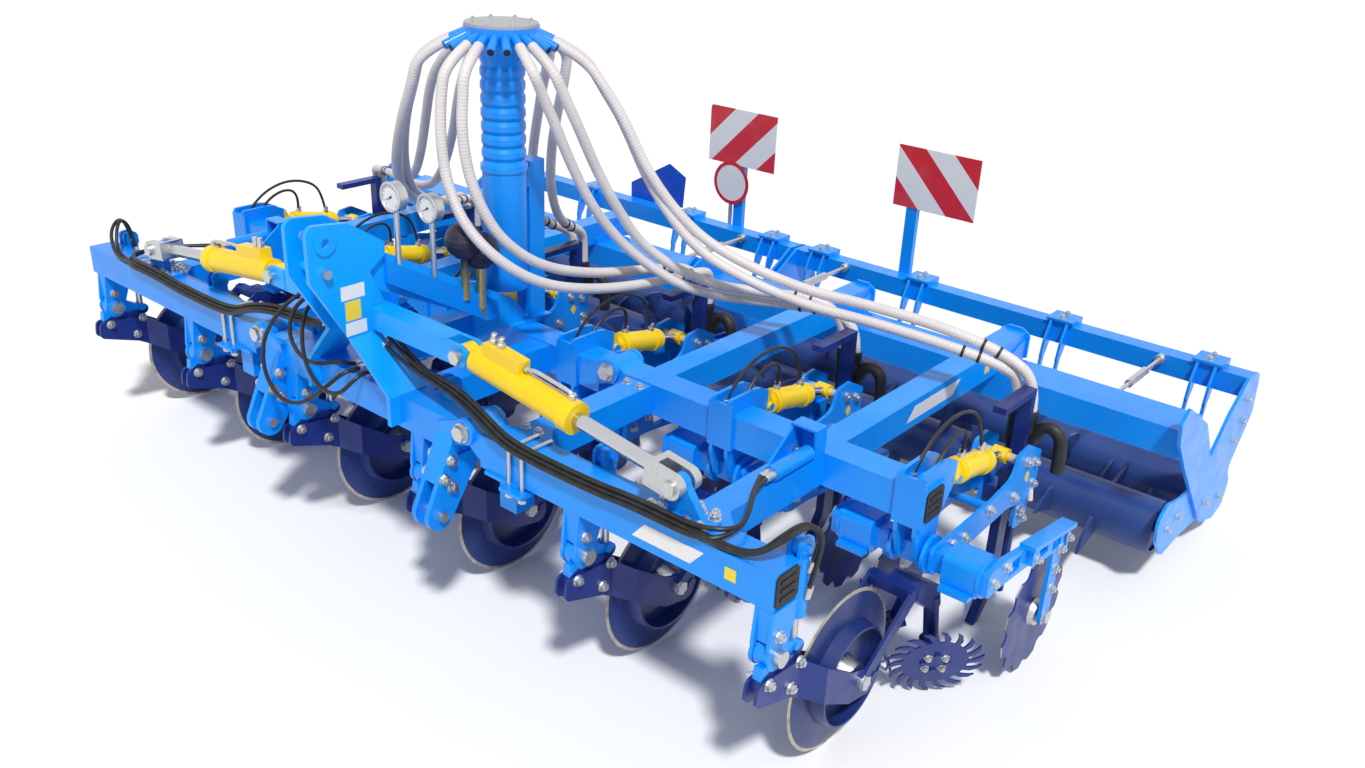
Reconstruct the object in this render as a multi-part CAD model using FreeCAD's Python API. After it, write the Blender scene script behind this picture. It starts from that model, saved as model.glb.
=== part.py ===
"""Six-row folding strip-till cultivator, unfolded and standing on its discs and rollers.

X runs across the machine (+X is its left hand), Y runs rearwards, Z up; millimetres.
Every size is measured from the disc axles (y = 0) and the ground (z = 0); SHIFT_Y then puts
the origin under the middle of the machine.
"""
import FreeCAD
import Part
import math
import os
from FreeCAD import Vector

# ---- frame ------------------------------------------------------------------
ROW = 750.0             # row spacing
ROWS = [(i - 2.5) * ROW for i in range(6)]
BEAM = 120.0            # square section of both toolbars
BEAM_Z = 790.0          # height of their centre line
TOP, LOW = BEAM_Z + BEAM / 2, BEAM_Z - BEAM / 2
FRONT_Y = -380.0        # front toolbar centre
MID_Y = 316.0           # middle toolbar centre
FRONT_FACE, FRONT_BACK = FRONT_Y - BEAM / 2, FRONT_Y + BEAM / 2
MID_FACE, MID_BACK = MID_Y - BEAM / 2, MID_Y + BEAM / 2
FRONT_END = (ROWS[5] - 20.0, ROWS[5] + 110.0)   # ends of the front toolbar, left and right
MID_END = ROWS[5] + 50.0    # half width over the middle toolbar
RAIL_W, RAIL_H = 100.0, 110.0
RAIL_TOP, RAIL_LOW = BEAM_Z + RAIL_H / 2, BEAM_Z - RAIL_H / 2
CENTRE_RAIL_X = 225.0
ARM_X = (ROW, 2 * ROW)  # fore-and-aft arms of a wing, midway between rows
ARM_END_Y = 1755.0
CORNER = 75.0           # legs of the corner gussets

# ---- fold hinge and cylinder --------------------------------------------------
HINGE_X, HINGE_Z = ROW / 2 + 220.0, BEAM_Z + 50.0
HINGE_R = 46.0
CENTRE_END = HINGE_X - 60.0   # half width of the centre section
WING_START = HINGE_X + 65.0   # where a wing toolbar starts
CHEEK_X0 = HINGE_X - 145.0    # where the cheeks start on the centre toolbars
CHEEK_T = 16.0
PIN_R = 25.0
FIT = 0.05              # radial running clearance on pins and axles
SIDE_GAP = 1.0          # side clearance of a lug between cheeks
FOLD_Y = FRONT_Y + 10.0     # plane of the folding cylinders
BASE_X, BASE_Z = HINGE_X - 60.0, BEAM_Z + 291.0
EYE_X, EYE_Z = ROWS[4] + 331.0, BEAM_Z + 168.0
EAR_T = 28.0
BARREL_R, ROD_R = 49.0, 25.0
FORK_REACH = 100.0      # from the fork's pin back to its root
END_SPARE = 18.0        # barrel end to fork root with the wing folded
CLOSED = math.hypot(HINGE_X - (EYE_Z - HINGE_Z) - BASE_X, HINGE_Z + (EYE_X - HINGE_X) - BASE_Z)
BARREL_LEN = CLOSED - FORK_REACH - END_SPARE
CYL_PIN_R = 17.5

# ---- ground tools -------------------------------------------------------------
DISC_R = 280.0
DISC_DX = -30.0         # blade plane from the row centre
STAR_R = 168.0
STAR_TEETH = 18
STAR_T = 6.0
SIDE_R = 230.0
SIDE_DX = 252.0
SIDE_T = 6.0
NOTCHES = 12
NOTCH_DEEP = 24.0
SIDE_Y = 800.0
FLOOR_GAP = 4.0         # tools that only hang over the ground
AXLE_R = 15.0

# ---- rollers -------------------------------------------------------------------
ROLLER_X0, ROLLER_X1 = 50.0, 2262.0
TUBE_R = 110.0
TIP_R = 250.0
TIP_LEAN = 8.0          # how far a blade's point lies off its radius
ROLLER_Y = (1660.0, 2070.0)
RINGS = 11
FIN_T = 14.0
CRESCENT_T, CARRIER_T = 14.0, 12.0
BEARING_T = 6.0
FRAME_X0, FRAME_X1 = ROLLER_X0 - 38.0, ROLLER_X1 + 56.0
CROSS_W, CROSS_H = 205.0, 115.0
CROSS_Y = 1632.0
REAR_BAR = 90.0
REAR_Y, REAR_Z = 2345.0, BEAM_Z - 125.0
CLAMP_X = (160.0, 740.0, 1480.0, 2140.0)

SHIFT_Y = -927.5

X, Y, Z = Vector(1, 0, 0), Vector(0, 1, 0), Vector(0, 0, 1)


# ---- helpers --------------------------------------------------------------------
def box(x0, x1, y0, y1, z0, z1):
    return Part.makeBox(x1 - x0, y1 - y0, z1 - z0, Vector(x0, y0, z0))


def rod(p, axis, r, length):
    return Part.makeCylinder(r, length, Vector(*p), axis)


def hexagon(p, axis, flats, length):
    """Hexagon nut or bolt head from p along an axis."""
    r = flats / math.sqrt(3)
    points = [(r * math.cos(math.pi / 3 * i), r * math.sin(math.pi / 3 * i)) for i in range(6)]
    return placed(Part.Face(wire(points)).extrude(Vector(0, 0, length)), p, tuple(axis))


def ring(p, axis, r_out, r_in, length):
    return rod(p, axis, r_out, length).cut(rod(p, axis, r_in, length))


def join(first, *rest):
    """One welded solid, grown piece by piece."""
    whole = first
    for s in rest:
        for piece in (s if isinstance(s, (list, tuple)) else [s]):
            whole = whole.fuse(piece)
            clean = whole.removeSplitter()
            whole = clean if clean.isValid() else whole
    return whole


def wire(points):
    """Closed outline through (u, v) or (u, v, corner radius) points, in the XY plane."""
    n = len(points)
    corner = []
    for i, q in enumerate(points):
        p = Vector(q[0], q[1], 0)
        r = q[2] if len(q) > 2 else 0.0
        if r <= 0:
            corner.append((p, p, None))
            continue
        a = (Vector(points[i - 1][0], points[i - 1][1], 0) - p).normalize()
        b = (Vector(points[(i + 1) % n][0], points[(i + 1) % n][1], 0) - p).normalize()
        half = a.getAngle(b) / 2
        t = r / math.tan(half)
        bis = (a + b).normalize()
        c = p + bis * (r / math.sin(half))
        corner.append((p + a * t, p + b * t, c - bis * r))
    edges = []
    for i in range(n):
        start, end, mid = corner[i]
        if mid is not None:
            edges.append(Part.Arc(start, mid, end).toShape())
        nxt = corner[(i + 1) % n][0]
        if (nxt - end).Length > 1e-6:
            edges.append(Part.LineSegment(end, nxt).toShape())
    return Part.Wire(edges)


def plate(points, normal, lo, hi, holes=()):
    """Flat plate: outline in (y, z), (x, z) or (x, y) for a normal along x, y or z."""
    shape = Part.Face(wire(points)).extrude(Vector(0, 0, hi - lo))
    for u, v, r in holes:
        shape = shape.cut(Part.makeCylinder(r, hi - lo, Vector(u, v, 0)))
    m = FreeCAD.Matrix()
    if normal == "x":
        m = FreeCAD.Matrix(0, 0, 1, lo, 1, 0, 0, 0, 0, 1, 0, 0)
    elif normal == "y":
        m = FreeCAD.Matrix(1, 0, 0, 0, 0, 0, -1, hi, 0, 1, 0, 0)
    else:
        m = FreeCAD.Matrix(1, 0, 0, 0, 0, 1, 0, 0, 0, 0, 1, lo)
    return shape.transformShape(m, True)


def offset(points, u, v):
    """Outline moved by (u, v)."""
    return [(p[0] + u, p[1] + v) + tuple(p[2:]) for p in points]


def slat(a, b, t):
    """Outline of a straight strip of thickness t on the left of the line from a to b."""
    d = Vector(b[0] - a[0], b[1] - a[1]).normalize()
    u, v = -d.y * t, d.x * t
    return [a, b, (b[0] + u, b[1] + v), (a[0] + u, a[1] + v)]


def strap(normal, lo, hi, a, ra, b, rb):
    """Flat bar between two round ends."""
    ax, ay = a
    bx, by = b
    d = math.hypot(bx - ax, by - ay)
    ang = math.atan2(by - ay, bx - ax)
    off = math.acos((ra - rb) / d)
    pts = []
    for (cx, cy, r), s in (((ax, ay, ra), -1), ((bx, by, rb), -1), ((bx, by, rb), 1), ((ax, ay, ra), 1)):
        pts.append((cx + r * math.cos(ang + s * off), cy + r * math.sin(ang + s * off)))
    body = plate(pts, normal, lo, hi)
    ends = []
    for (cx, cy, r) in ((ax, ay, ra), (bx, by, rb)):
        if normal == "x":
            ends.append(rod((lo, cx, cy), X, r, hi - lo))
        elif normal == "y":
            ends.append(rod((cx, lo, cy), Y, r, hi - lo))
        else:
            ends.append(rod((cx, cy, lo), Z, r, hi - lo))
    return join(body, ends)


def turned(profile, p, axis):
    """Solid of revolution: profile of (radius, height along axis) points from p."""
    face = Part.Face(Part.makePolygon([Vector(r, 0, h) for r, h in profile + profile[:1]]))
    solid = face.revolve(Vector(0, 0, 0), Z, 360)
    return placed(solid, p, axis)


def placed(shape, p, axis):
    s = shape.copy()
    s.Placement = FreeCAD.Placement(Vector(*p), FreeCAD.Rotation(Z, Vector(*axis)))
    return s


def flip(shape, side):
    """The right-hand (-X) twin of a piece drawn on the left."""
    return shape if side > 0 else shape.mirror(Vector(0, 0, 0), X)


def moved(shape, x):
    s = shape.copy()
    s.translate(Vector(x, 0, 0))
    return s


def save(name, *solids):
    flat = []
    for s in solids:
        for t in (s if isinstance(s, (list, tuple)) else [s]):
            flat += t.Solids
    whole = Part.makeCompound(flat) if len(flat) > 1 else flat[0]
    whole = whole.copy()
    whole.translate(Vector(0, SHIFT_Y, 0))
    whole.exportStep("parts/%s.step" % name)
    print(name, len(flat), "solids", round(sum(f.Volume for f in flat) / 1e6, 2), "dm3",
          all(f.isValid() for f in flat))


# ---- toolbars and fold hinge ------------------------------------------------------
def toolbar(x0, x1, y):
    return box(x0, x1, y - BEAM / 2, y + BEAM / 2, LOW, TOP)


def hinge_cheeks(y):
    """Two cheeks on the centre section with the headed pin, on the left hand."""
    pieces = []
    for y0 in (y - BEAM / 2 - CHEEK_T, y + BEAM / 2):
        tongue = plate([(CHEEK_X0, BEAM_Z - 50), (CHEEK_X0, BEAM_Z + 40, 20), (HINGE_X, HINGE_Z + HINGE_R),
                        (HINGE_X + HINGE_R, HINGE_Z), (HINGE_X, HINGE_Z - HINGE_R)], "y", y0, y0 + CHEEK_T)
        pieces += [tongue, rod((HINGE_X, y0, HINGE_Z), Y, HINGE_R, CHEEK_T)]
    reach = BEAM / 2 + CHEEK_T
    pieces.append(rod((HINGE_X, y - reach - 8, HINGE_Z), Y, PIN_R, 2 * reach + 26))
    pieces.append(rod((HINGE_X, y - reach - 8, HINGE_Z), Y, PIN_R + 9, 8))
    pieces.append(hexagon((HINGE_X, y - reach - 26, HINGE_Z), Y, 2 * PIN_R, 18))
    return pieces


def hinge_lug(y):
    """The wing's lug between the cheeks, on the left hand."""
    y0, y1 = y - BEAM / 2 + SIDE_GAP, y + BEAM / 2 - SIDE_GAP
    lug = join(plate([(WING_START, BEAM_Z - 40), (WING_START, TOP - 2),
                      (HINGE_X, HINGE_Z + HINGE_R - 2), (HINGE_X - 5, HINGE_Z - HINGE_R + 3)], "y", y0, y1),
               rod((HINGE_X, y0, HINGE_Z), Y, HINGE_R - 2, y1 - y0))
    return lug.cut(rod((HINGE_X, y0 - 5, HINGE_Z), Y, PIN_R + FIT, y1 - y0 + 10))


LINK_X = (460.0, 546.0)
LINK_T = 20.0
LINK_PIN = (FRONT_Y - 142.0, BEAM_Z - 261.0)
LINK_PIN_R = 18.3
LINK_END_R = 56.0


def link_bracket():
    """Lower hitch bracket on the left hand: two cheeks, a front plate and the pin."""
    y, z = LINK_PIN
    head = Vector(FRONT_FACE - 16, TOP - 46)
    toe = Vector(y - LINK_END_R, z + 12)
    outline = [(FRONT_FACE, head.y), (head.x, head.y, 10), (toe.x, toe.y), (y + 42, z - 36),
               (FRONT_BACK, LOW), (FRONT_FACE, LOW)]
    pieces = []
    for x0 in (LINK_X[0], LINK_X[1] - LINK_T):
        pieces += [plate(outline, "x", x0, x0 + LINK_T), rod((x0, y, z), X, LINK_END_R, LINK_T)]
    cover = slat((head.x, head.y), (head.x + 0.6 * (toe.x - head.x), head.y + 0.6 * (toe.y - head.y)), 12)
    sill = slat((y + 120, z + 74), (FRONT_BACK - 30, LOW - 12), 12)
    for outline in (cover, sill):
        pieces.append(plate(outline, "x", LINK_X[0] + LINK_T, LINK_X[1] - LINK_T))
    pin = rod((LINK_X[0] - 14, y, z), X, LINK_PIN_R, LINK_X[1] - LINK_X[0] + 34)
    return pieces + [pin]


def centre_front_beam():
    half = hinge_cheeks(FRONT_Y) + link_bracket()
    return join(toolbar(-CENTRE_END, CENTRE_END, FRONT_Y), half, [flip(h, -1) for h in half])


def centre_mid_beam():
    half = hinge_cheeks(MID_Y)
    return join(toolbar(-CENTRE_END, CENTRE_END, MID_Y), half, [flip(h, -1) for h in half])


def rail(x, y0, y1):
    return box(x - RAIL_W / 2, x + RAIL_W / 2, y0, y1, RAIL_LOW, RAIL_TOP)


def front_rail(x, gussets=()):
    """Rail between the toolbars, with corner gussets at the front one on the given sides."""
    pieces = [rail(x, FRONT_BACK, MID_FACE)]
    for side in gussets:
        edge = x + side * RAIL_W / 2
        tip = [(edge, FRONT_BACK), (edge + side * CORNER, FRONT_BACK), (edge, FRONT_BACK + CORNER)]
        pieces.append(plate(tip, "z", RAIL_TOP - 12, RAIL_TOP))
    return pieces


def centre_rails():
    return front_rail(-CENTRE_RAIL_X) + front_rail(CENTRE_RAIL_X)


def eye_ear():
    """Single ear that the folding cylinder's fork straddles, on its base plate."""
    y0, y1 = FOLD_Y - EAR_T / 2, FOLD_Y + EAR_T / 2
    upright = plate([(EYE_X - 34, TOP), (EYE_X - 30, EYE_Z), (EYE_X + 30, EYE_Z), (EYE_X + 110, TOP)],
                    "y", y0, y1)
    foot = box(EYE_X - 110, EYE_X + 130, FRONT_Y - 45, FRONT_Y + 45, TOP, TOP + 12)
    return join(upright, rod((EYE_X, y0, EYE_Z), Y, 30, EAR_T), foot)


def wing_front_beam(end):
    """Front toolbar of a wing with its lug, the cylinder's ear and the parking leg's socket."""
    x = ARM_X[0] + 20
    socket = box(x - 40, x + 40, FRONT_Y - 40, FRONT_Y + 40, LOW - 130, LOW).cut(
        box(x - 32, x + 32, FRONT_Y - 32, FRONT_Y + 32, LOW - 130, LOW - 12))
    seat = box(x - 80, x + 80, FRONT_Y - 70, FRONT_Y + 70, LOW - 12, LOW)
    return join(toolbar(WING_START, end, FRONT_Y), hinge_lug(FRONT_Y), eye_ear(), seat, socket)


def wing_mid_beam():
    return join(toolbar(WING_START, MID_END, MID_Y), hinge_lug(MID_Y))


def arm_end(x):
    """End plate and side gussets where an arm lies over the roller frame's cross beam."""
    cap = plate([(x - 66, RAIL_LOW), (x - 66, RAIL_TOP - 10, 20), (x - 30, RAIL_TOP + 14, 10),
                 (x + 30, RAIL_TOP + 14, 10), (x + 66, RAIL_TOP - 10, 20), (x + 66, RAIL_LOW)], "y",
                ARM_END_Y, ARM_END_Y + 12)
    cheek = [(CROSS_Y - CROSS_W / 2, RAIL_LOW), (CROSS_Y - CROSS_W / 2, RAIL_LOW + 25),
             (ARM_END_Y, RAIL_TOP - 20, 15), (ARM_END_Y, RAIL_LOW)]
    plates = [plate(cheek, "x", x0, x0 + 8) for x0 in (x - RAIL_W / 2 - 8, x + RAIL_W / 2)]
    return [cap] + plates


def arm_stop(x):
    """Open box bracket with its gusset on the outer arm, and the locking tube beside it."""
    y0 = MID_FACE - 62
    tower = box(x - 50, x + 50, y0, MID_FACE, RAIL_TOP, RAIL_TOP + 105).cut(
        box(x - 42, x + 42, y0, MID_FACE - 8, RAIL_TOP, RAIL_TOP + 97))
    web = plate([(y0 - 120, RAIL_TOP), (y0, RAIL_TOP + 90), (y0, RAIL_TOP)], "x", x - 50, x - 40)
    lock = rod((x + 30, y0 - 210, RAIL_TOP + 27), Y, 27, 200)
    return [tower, web, lock]


def wing_arms():
    inner, outer = ARM_X
    pieces = front_rail(inner, (1,)) + front_rail(outer, (-1, 1)) + arm_stop(outer)
    for x in ARM_X:
        pieces += [rail(x, MID_BACK, ARM_END_Y)] + arm_end(x)
    return pieces


# ---- headstock ---------------------------------------------------------------------
MAST_X, MAST_T = 70.0, 20.0     # outer face of a mast plate and its thickness
BEND = 240.0                    # height of its bend over the toolbar's centre
LEG_X = 245.0
TOP_HOLE = (FRONT_Y - 194.0, BEAM_Z + 601.0, 16.0)
LOW_HOLE = (FRONT_Y - 201.0, BEAM_Z + 496.0, 16.0)


def quad(x, y0, y1, z):
    """Closed outline of one cross-section through a mast leg."""
    return Part.makePolygon([Vector(x - MAST_T, y0, z), Vector(x, y0, z), Vector(x, y1, z),
                             Vector(x - MAST_T, y1, z), Vector(x - MAST_T, y0, z)])


def mast_side():
    outline = [(-122, BEND), (-260, 472, 12), (-260, 640, 25), (-240, 666, 30), (-100, 650),
               (45, 556, 10), (45, 510), (-22, 460, 12), (35, 330, 30), (36, BEND)]
    upper = plate(offset(outline, FRONT_Y, BEAM_Z), "x", MAST_X - MAST_T, MAST_X, [TOP_HOLE, LOW_HOLE])
    boss = ring((MAST_X, TOP_HOLE[0], TOP_HOLE[1]), X, 42, TOP_HOLE[2], 8)
    y0, y1 = FRONT_FACE - 42, FRONT_BACK
    low = Part.makeLoft([quad(MAST_X, FRONT_Y - 122, FRONT_Y + 36, BEAM_Z + BEND),
                         quad(LEG_X, y0, y1, TOP + 2)], True)
    foot = box(LEG_X - MAST_T, LEG_X, y0, FRONT_FACE, BEAM_Z - 48, TOP + 2)
    sill = box(LEG_X - MAST_T, LEG_X, FRONT_FACE, y1, TOP, TOP + 2)
    return [upper, boss, low, foot, sill]


def brace():
    """Channel from the mast's back down to the middle toolbar."""
    w = MAST_X - MAST_T
    root, heel = (FRONT_Y - 20, BEAM_Z + 400), (MID_FACE + 10, TOP + 8)
    outline = [(FRONT_Y + 28, BEAM_Z + 522), root, heel, (MID_Y + 8, TOP + 8), (MID_Y + 8, TOP + 60, 15),
               (MID_Y - 50, TOP + 128, 40)]
    sides = [plate(outline, "x", x0, x0 + 10) for x0 in (-w, w - 10)]
    floor = plate(slat(root, heel, 12), "x", -w, w)
    foot = box(-70, 70, MID_FACE, MID_Y + 8, TOP, TOP + 14)
    return [floor, foot] + sides


def headstock():
    half = mast_side()
    w = MAST_X - MAST_T
    tie = box(-w, w, FRONT_Y - 120, FRONT_Y + 20, BEAM_Z + 340, BEAM_Z + 360)
    cap = box(-w, w, FRONT_Y - 90, FRONT_Y + 28, BEAM_Z + 510, BEAM_Z + 530)
    end = BASE_X - 70
    cross = box(-end, end, FOLD_Y - 40, FOLD_Y + 40, BASE_Z - 40, BASE_Z + 40)
    ears = []
    for y0 in (FOLD_Y - 43, FOLD_Y + 27):
        ears.append(join(box(end - 10, BASE_X, y0, y0 + 16, BASE_Z - 38, BASE_Z + 38),
                         rod((BASE_X, y0, BASE_Z), Y, 38, 16)))
    pin = join(rod((BASE_X, FOLD_Y - 55, BASE_Z), Y, CYL_PIN_R, 110),
               hexagon((BASE_X, FOLD_Y - 67, BASE_Z), Y, 2 * CYL_PIN_R + 11, 12))
    half += ears + [pin]
    pinned = rod((-MAST_X - 22, LOW_HOLE[0], LOW_HOLE[1]), X, LOW_HOLE[2], 2 * MAST_X + 44)
    return join(cross, tie, cap, brace(), half, [flip(h, -1) for h in half], pinned)


# ---- folding cylinder ----------------------------------------------------------------
CYL_DIR = Vector(EYE_X - BASE_X, 0, EYE_Z - BASE_Z).normalize()


def along(d, y=FOLD_Y):
    return (BASE_X + CYL_DIR.x * d, y, BASE_Z + CYL_DIR.z * d)


def on_cylinder(shape, x, z):
    """Piece drawn along X about a pin, turned onto the cylinder's line."""
    shape.Placement = FreeCAD.Placement(Vector(x, FOLD_Y, z), FreeCAD.Rotation(X, CYL_DIR))
    return shape


def fold_barrel():
    eye = rod((BASE_X, FOLD_Y - 24, BASE_Z), Y, 36, 48)
    body = rod(along(48), CYL_DIR, BARREL_R, BARREL_LEN - 48)
    neck = on_cylinder(Part.makeBox(60, 48, 56, Vector(0, -24, -28)), BASE_X, BASE_Z)
    gland = rod(along(BARREL_LEN - 45), CYL_DIR, BARREL_R + 6, 45)
    valve = on_cylinder(Part.makeBox(170, 50, 46, Vector(90, -25, BARREL_R - 8)), BASE_X, BASE_Z)
    barrel = join(eye, neck, body, gland, valve)
    barrel = barrel.cut(rod((BASE_X, FOLD_Y - 60, BASE_Z), Y, CYL_PIN_R + FIT, 120))
    bore = rod(along(120), CYL_DIR, ROD_R + FIT, BARREL_LEN)
    return barrel.cut(bore)


def fold_rod():
    total = math.hypot(EYE_X - BASE_X, EYE_Z - BASE_Z)
    shaft = rod(along(BARREL_LEN - 60), CYL_DIR, ROD_R, total - FORK_REACH - BARREL_LEN + 65)
    head = Part.makeBox(24, 104, 76, Vector(-FORK_REACH, -52, -38))
    cheeks = []
    for y0 in (-52, 21):
        bar = Part.makeBox(FORK_REACH - 20, 31, 76, Vector(20 - FORK_REACH, y0, -38))
        cheeks += [bar, Part.makeCylinder(38, 31, Vector(0, y0, 0), Y)]
    stubs = [Part.makeCylinder(24, 12, Vector(0, -64, 0), Y), Part.makeCylinder(24, 12, Vector(0, 52, 0), Y)]
    fork = on_cylinder(join(head, cheeks, stubs), EYE_X, EYE_Z)
    return join(shaft, fork)


# ---- cutting disc unit (drawn on the row centre) ---------------------------------------
PIVOT = (FRONT_Y - 28.0, BEAM_Z - 218.0)
AXLE_Z = DISC_R
ARM_T = 10.0
ARM_IN, ARM_OUT = DISC_DX - 75, DISC_DX + 75     # outer faces of the two arms at the axle
ARM_FRONT = (DISC_DX + 15, DISC_DX - 25)          # where the two arms start at the crank


def disc_hanger():
    """Two plates under the front toolbar that carry the pivot."""
    outline = [(FRONT_FACE + 2, LOW), (FRONT_FACE - 10, BEAM_Z - 180), (FRONT_FACE, BEAM_Z - 230),
               (FRONT_Y + 10, BEAM_Z - 230), (FRONT_Y + 45, BEAM_Z - 130, 30), (FRONT_Y + 50, LOW)]
    pieces = []
    for x0 in (-80.0, -24.0):
        pieces += [plate(outline, "x", x0, x0 + 12), rod((x0, PIVOT[0], PIVOT[1]), X, 46, 12)]
    pieces.append(box(-80, -12, FRONT_FACE + 2, FRONT_FACE + 14, BEAM_Z - 170, LOW))
    pieces.append(box(-80, -12, FRONT_FACE + 2, FRONT_Y + 50, LOW - 12, LOW))
    return pieces


def disc_arms():
    """Pivot pin, crank and the two bent trailing arms."""
    pin = rod((-82, PIVOT[0], PIVOT[1]), X, 26, 94)
    toe = [(FRONT_Y - 90, BEAM_Z - 230), (FRONT_Y - 100, BEAM_Z - 320, 25), (FRONT_Y + 90, BEAM_Z - 370, 25),
           (FRONT_Y + 95, BEAM_Z - 270)]
    crank = [strap("x", -66, -26, PIVOT, 42, (FRONT_Y + 80, BEAM_Z - 270), 30),
             plate(toe, "x", ARM_FRONT[1] + ARM_T, ARM_FRONT[0])]
    outline = [(FRONT_Y - 115, BEAM_Z - 270, 25), (FRONT_Y - 125, BEAM_Z - 345, 25),
               (FRONT_Y + 50, BEAM_Z - 405), (-60, AXLE_Z - 55, 25), (85, AXLE_Z - 85, 40),
               (95, AXLE_Z + 10, 40), (-60, AXLE_Z + 65), (FRONT_Y + 90, BEAM_Z - 290, 20)]
    arms = []
    for s, x_front in ((1, ARM_FRONT[0]), (-1, ARM_FRONT[1])):
        x_axle = ARM_OUT - ARM_T if s > 0 else ARM_IN
        lo, hi = (x_front, x_front + ARM_T), (x_axle, x_axle + ARM_T)
        bend = [(lo[0], FRONT_Y - 130), (lo[1], FRONT_Y - 130), (lo[1], FRONT_Y + 96), (hi[1], -212),
                (hi[1], 110), (hi[0], 110), (hi[0], -212), (lo[0], FRONT_Y + 96)]
        side = plate(outline, "x", min(lo[0], hi[0]) - 5, max(lo[1], hi[1]) + 5)
        arms.append(plate(bend, "z", 0, BEAM_Z).common(side))
    return [pin] + crank + arms


def disc_unit():
    hanger = disc_hanger()
    axle = rod((ARM_IN - 16, 0, AXLE_Z), X, AXLE_R, ARM_OUT - ARM_IN + 32)
    nuts = [hexagon((ARM_OUT, 0, AXLE_Z), X, 46, 22), hexagon((ARM_IN - 22, 0, AXLE_Z), X, 46, 22),
            hexagon((ARM_OUT, 58, AXLE_Z - 10), X, 36, 16)]
    y = FRONT_Y + 98.0
    jack = [rod((-46, y, BEAM_Z - 150), Z, 33, 200), rod((-46, y, BEAM_Z - 260), Z, 14, 130),
            rod((-58, y, BEAM_Z + 78), X, 30, 24), rod((-72, y + 2, BEAM_Z - 260), X, 24, 52)]
    ear = [(FRONT_BACK, TOP), (FRONT_BACK, BEAM_Z + 115, 20), (FRONT_Y + 125, BEAM_Z + 115, 25),
           (FRONT_Y + 130, BEAM_Z + 60, 15), (FRONT_BACK, BEAM_Z)]
    ears = [plate(ear, "x", x0, x0 + 12) for x0 in (-70.0, -34.0)] + [rod((-80, y, BEAM_Z + 78), X, 12, 68)]
    return join(hanger[0], hanger[1:], disc_arms(), axle, nuts, jack, ears, cleaner())


def cutting_disc():
    """Dished coulter with a depth drum on its outer face and a domed hub."""
    prof = [(AXLE_R + FIT, -58), (46, -58), (62, -3), (205, -3), (DISC_R - 12, -12), (DISC_R, -9),
            (DISC_R - 12, -6), (205, 3), (182, 6), (172, 52), (164, 52), (160, 3), (62, 3), (46, 54),
            (AXLE_R + FIT, 60)]
    return turned(prof, (DISC_DX, 0, AXLE_Z), (1, 0, 0))


# ---- row cleaner -----------------------------------------------------------------------
STAR_N = Vector(0.66, -0.68, -0.32).normalize()     # outer face of the left-hand wheel
STAR_AT = {1: (105.0, 390.0), -1: (150.0, 430.0)}   # the left-hand wheel runs ahead of the right
STAR_Z = STAR_R * math.sqrt(1 - STAR_N.z ** 2) + FLOOR_GAP + 4


def star_frame(side):
    """Centre and outward normal of a row's left-hand (1) or right-hand (-1) star wheel."""
    x, y = STAR_AT[side]
    return Vector(side * x, y, STAR_Z), Vector(side * STAR_N.x, STAR_N.y, STAR_N.z)


def star_wheel():
    """Toothed plate with hooked fingers, bolted to a hub with a blind bore; drawn flat about Z."""
    pts = []
    pitch = 2 * math.pi / STAR_TEETH
    finger = ((114, 0.0), (140, 0.16), (161, 0.52), (STAR_R, 0.92), (151, 0.72), (131, 0.56), (114, 0.46))
    for i in range(STAR_TEETH):
        for r, share in finger:
            a = (i + share) * pitch
            pts.append((r * math.cos(a), r * math.sin(a)))
    body = Part.Face(wire(pts)).extrude(Vector(0, 0, STAR_T))
    hub = Part.makeCylinder(48, 44, Vector(0, 0, -38))
    bolts = [hexagon((30 * u, 30 * v, STAR_T), Z, 19, 8) for u in (-1, 1) for v in (-1, 1)]
    return join(body, hub, bolts).cut(Part.makeCylinder(AXLE_R + FIT, 58, Vector(0, 0, -60)))


def star_placed(side):
    centre, n = star_frame(side)
    base = star_wheel() if side > 0 else star_wheel().mirror(Vector(0, 0, 0), X)
    return placed(base, tuple(centre), tuple(n))


def cleaner():
    """Drawbars, yoke and stub axles of the row cleaner."""
    parts = []
    tie_z = AXLE_Z + 190
    for x0 in (ARM_OUT, ARM_IN - 12):
        parts.append(strap("x", x0, x0 + 12, (0, AXLE_Z), 26, (270, tie_z), 24))
    parts.append(box(ARM_IN - 12, ARM_OUT + 12, 248, 296, tie_z - 18, tie_z + 18))
    yoke = [(285, tie_z + 18, 10), (285, tie_z - 30), (420, tie_z - 140), (470, tie_z - 140, 10),
            (440, tie_z - 40, 20), (340, tie_z + 18, 10)]
    parts.append(plate(yoke, "x", -60, 60))
    for side in (1, -1):
        c, n = star_frame(side)
        root = c - n * 100
        parts.append(placed(Part.makeCylinder(AXLE_R, 94), tuple(root), tuple(n)))
        parts.append(placed(Part.makeCylinder(34, 56), tuple(root), tuple(n)))
        hip = Vector(side * 40, 430, tie_z - 90)
        d = root + n * 28 - hip
        parts.append(placed(Part.makeCylinder(26, d.Length), tuple(hip), tuple(d)))
    return parts


# ---- row unit (drawn on the row centre) -----------------------------------------------------
SHAFT_Y, SHAFT_Z, SHAFT = MID_Y + 16.0, BEAM_Z - 190.0, 70.0
TINE_Y = 1010.0
HANG_IN, HANG_T = 27.0, 14.0    # half gap between the bracket's plates and their thickness
SIDE_IN = 76.0                  # half gap between the tine's side plates
JACK_FRONT = (MID_BACK + 102.0, BEAM_Z + 22.0)
JACK_REAR = (TINE_Y - 105.0, SHAFT_Z + 122.0)


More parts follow.
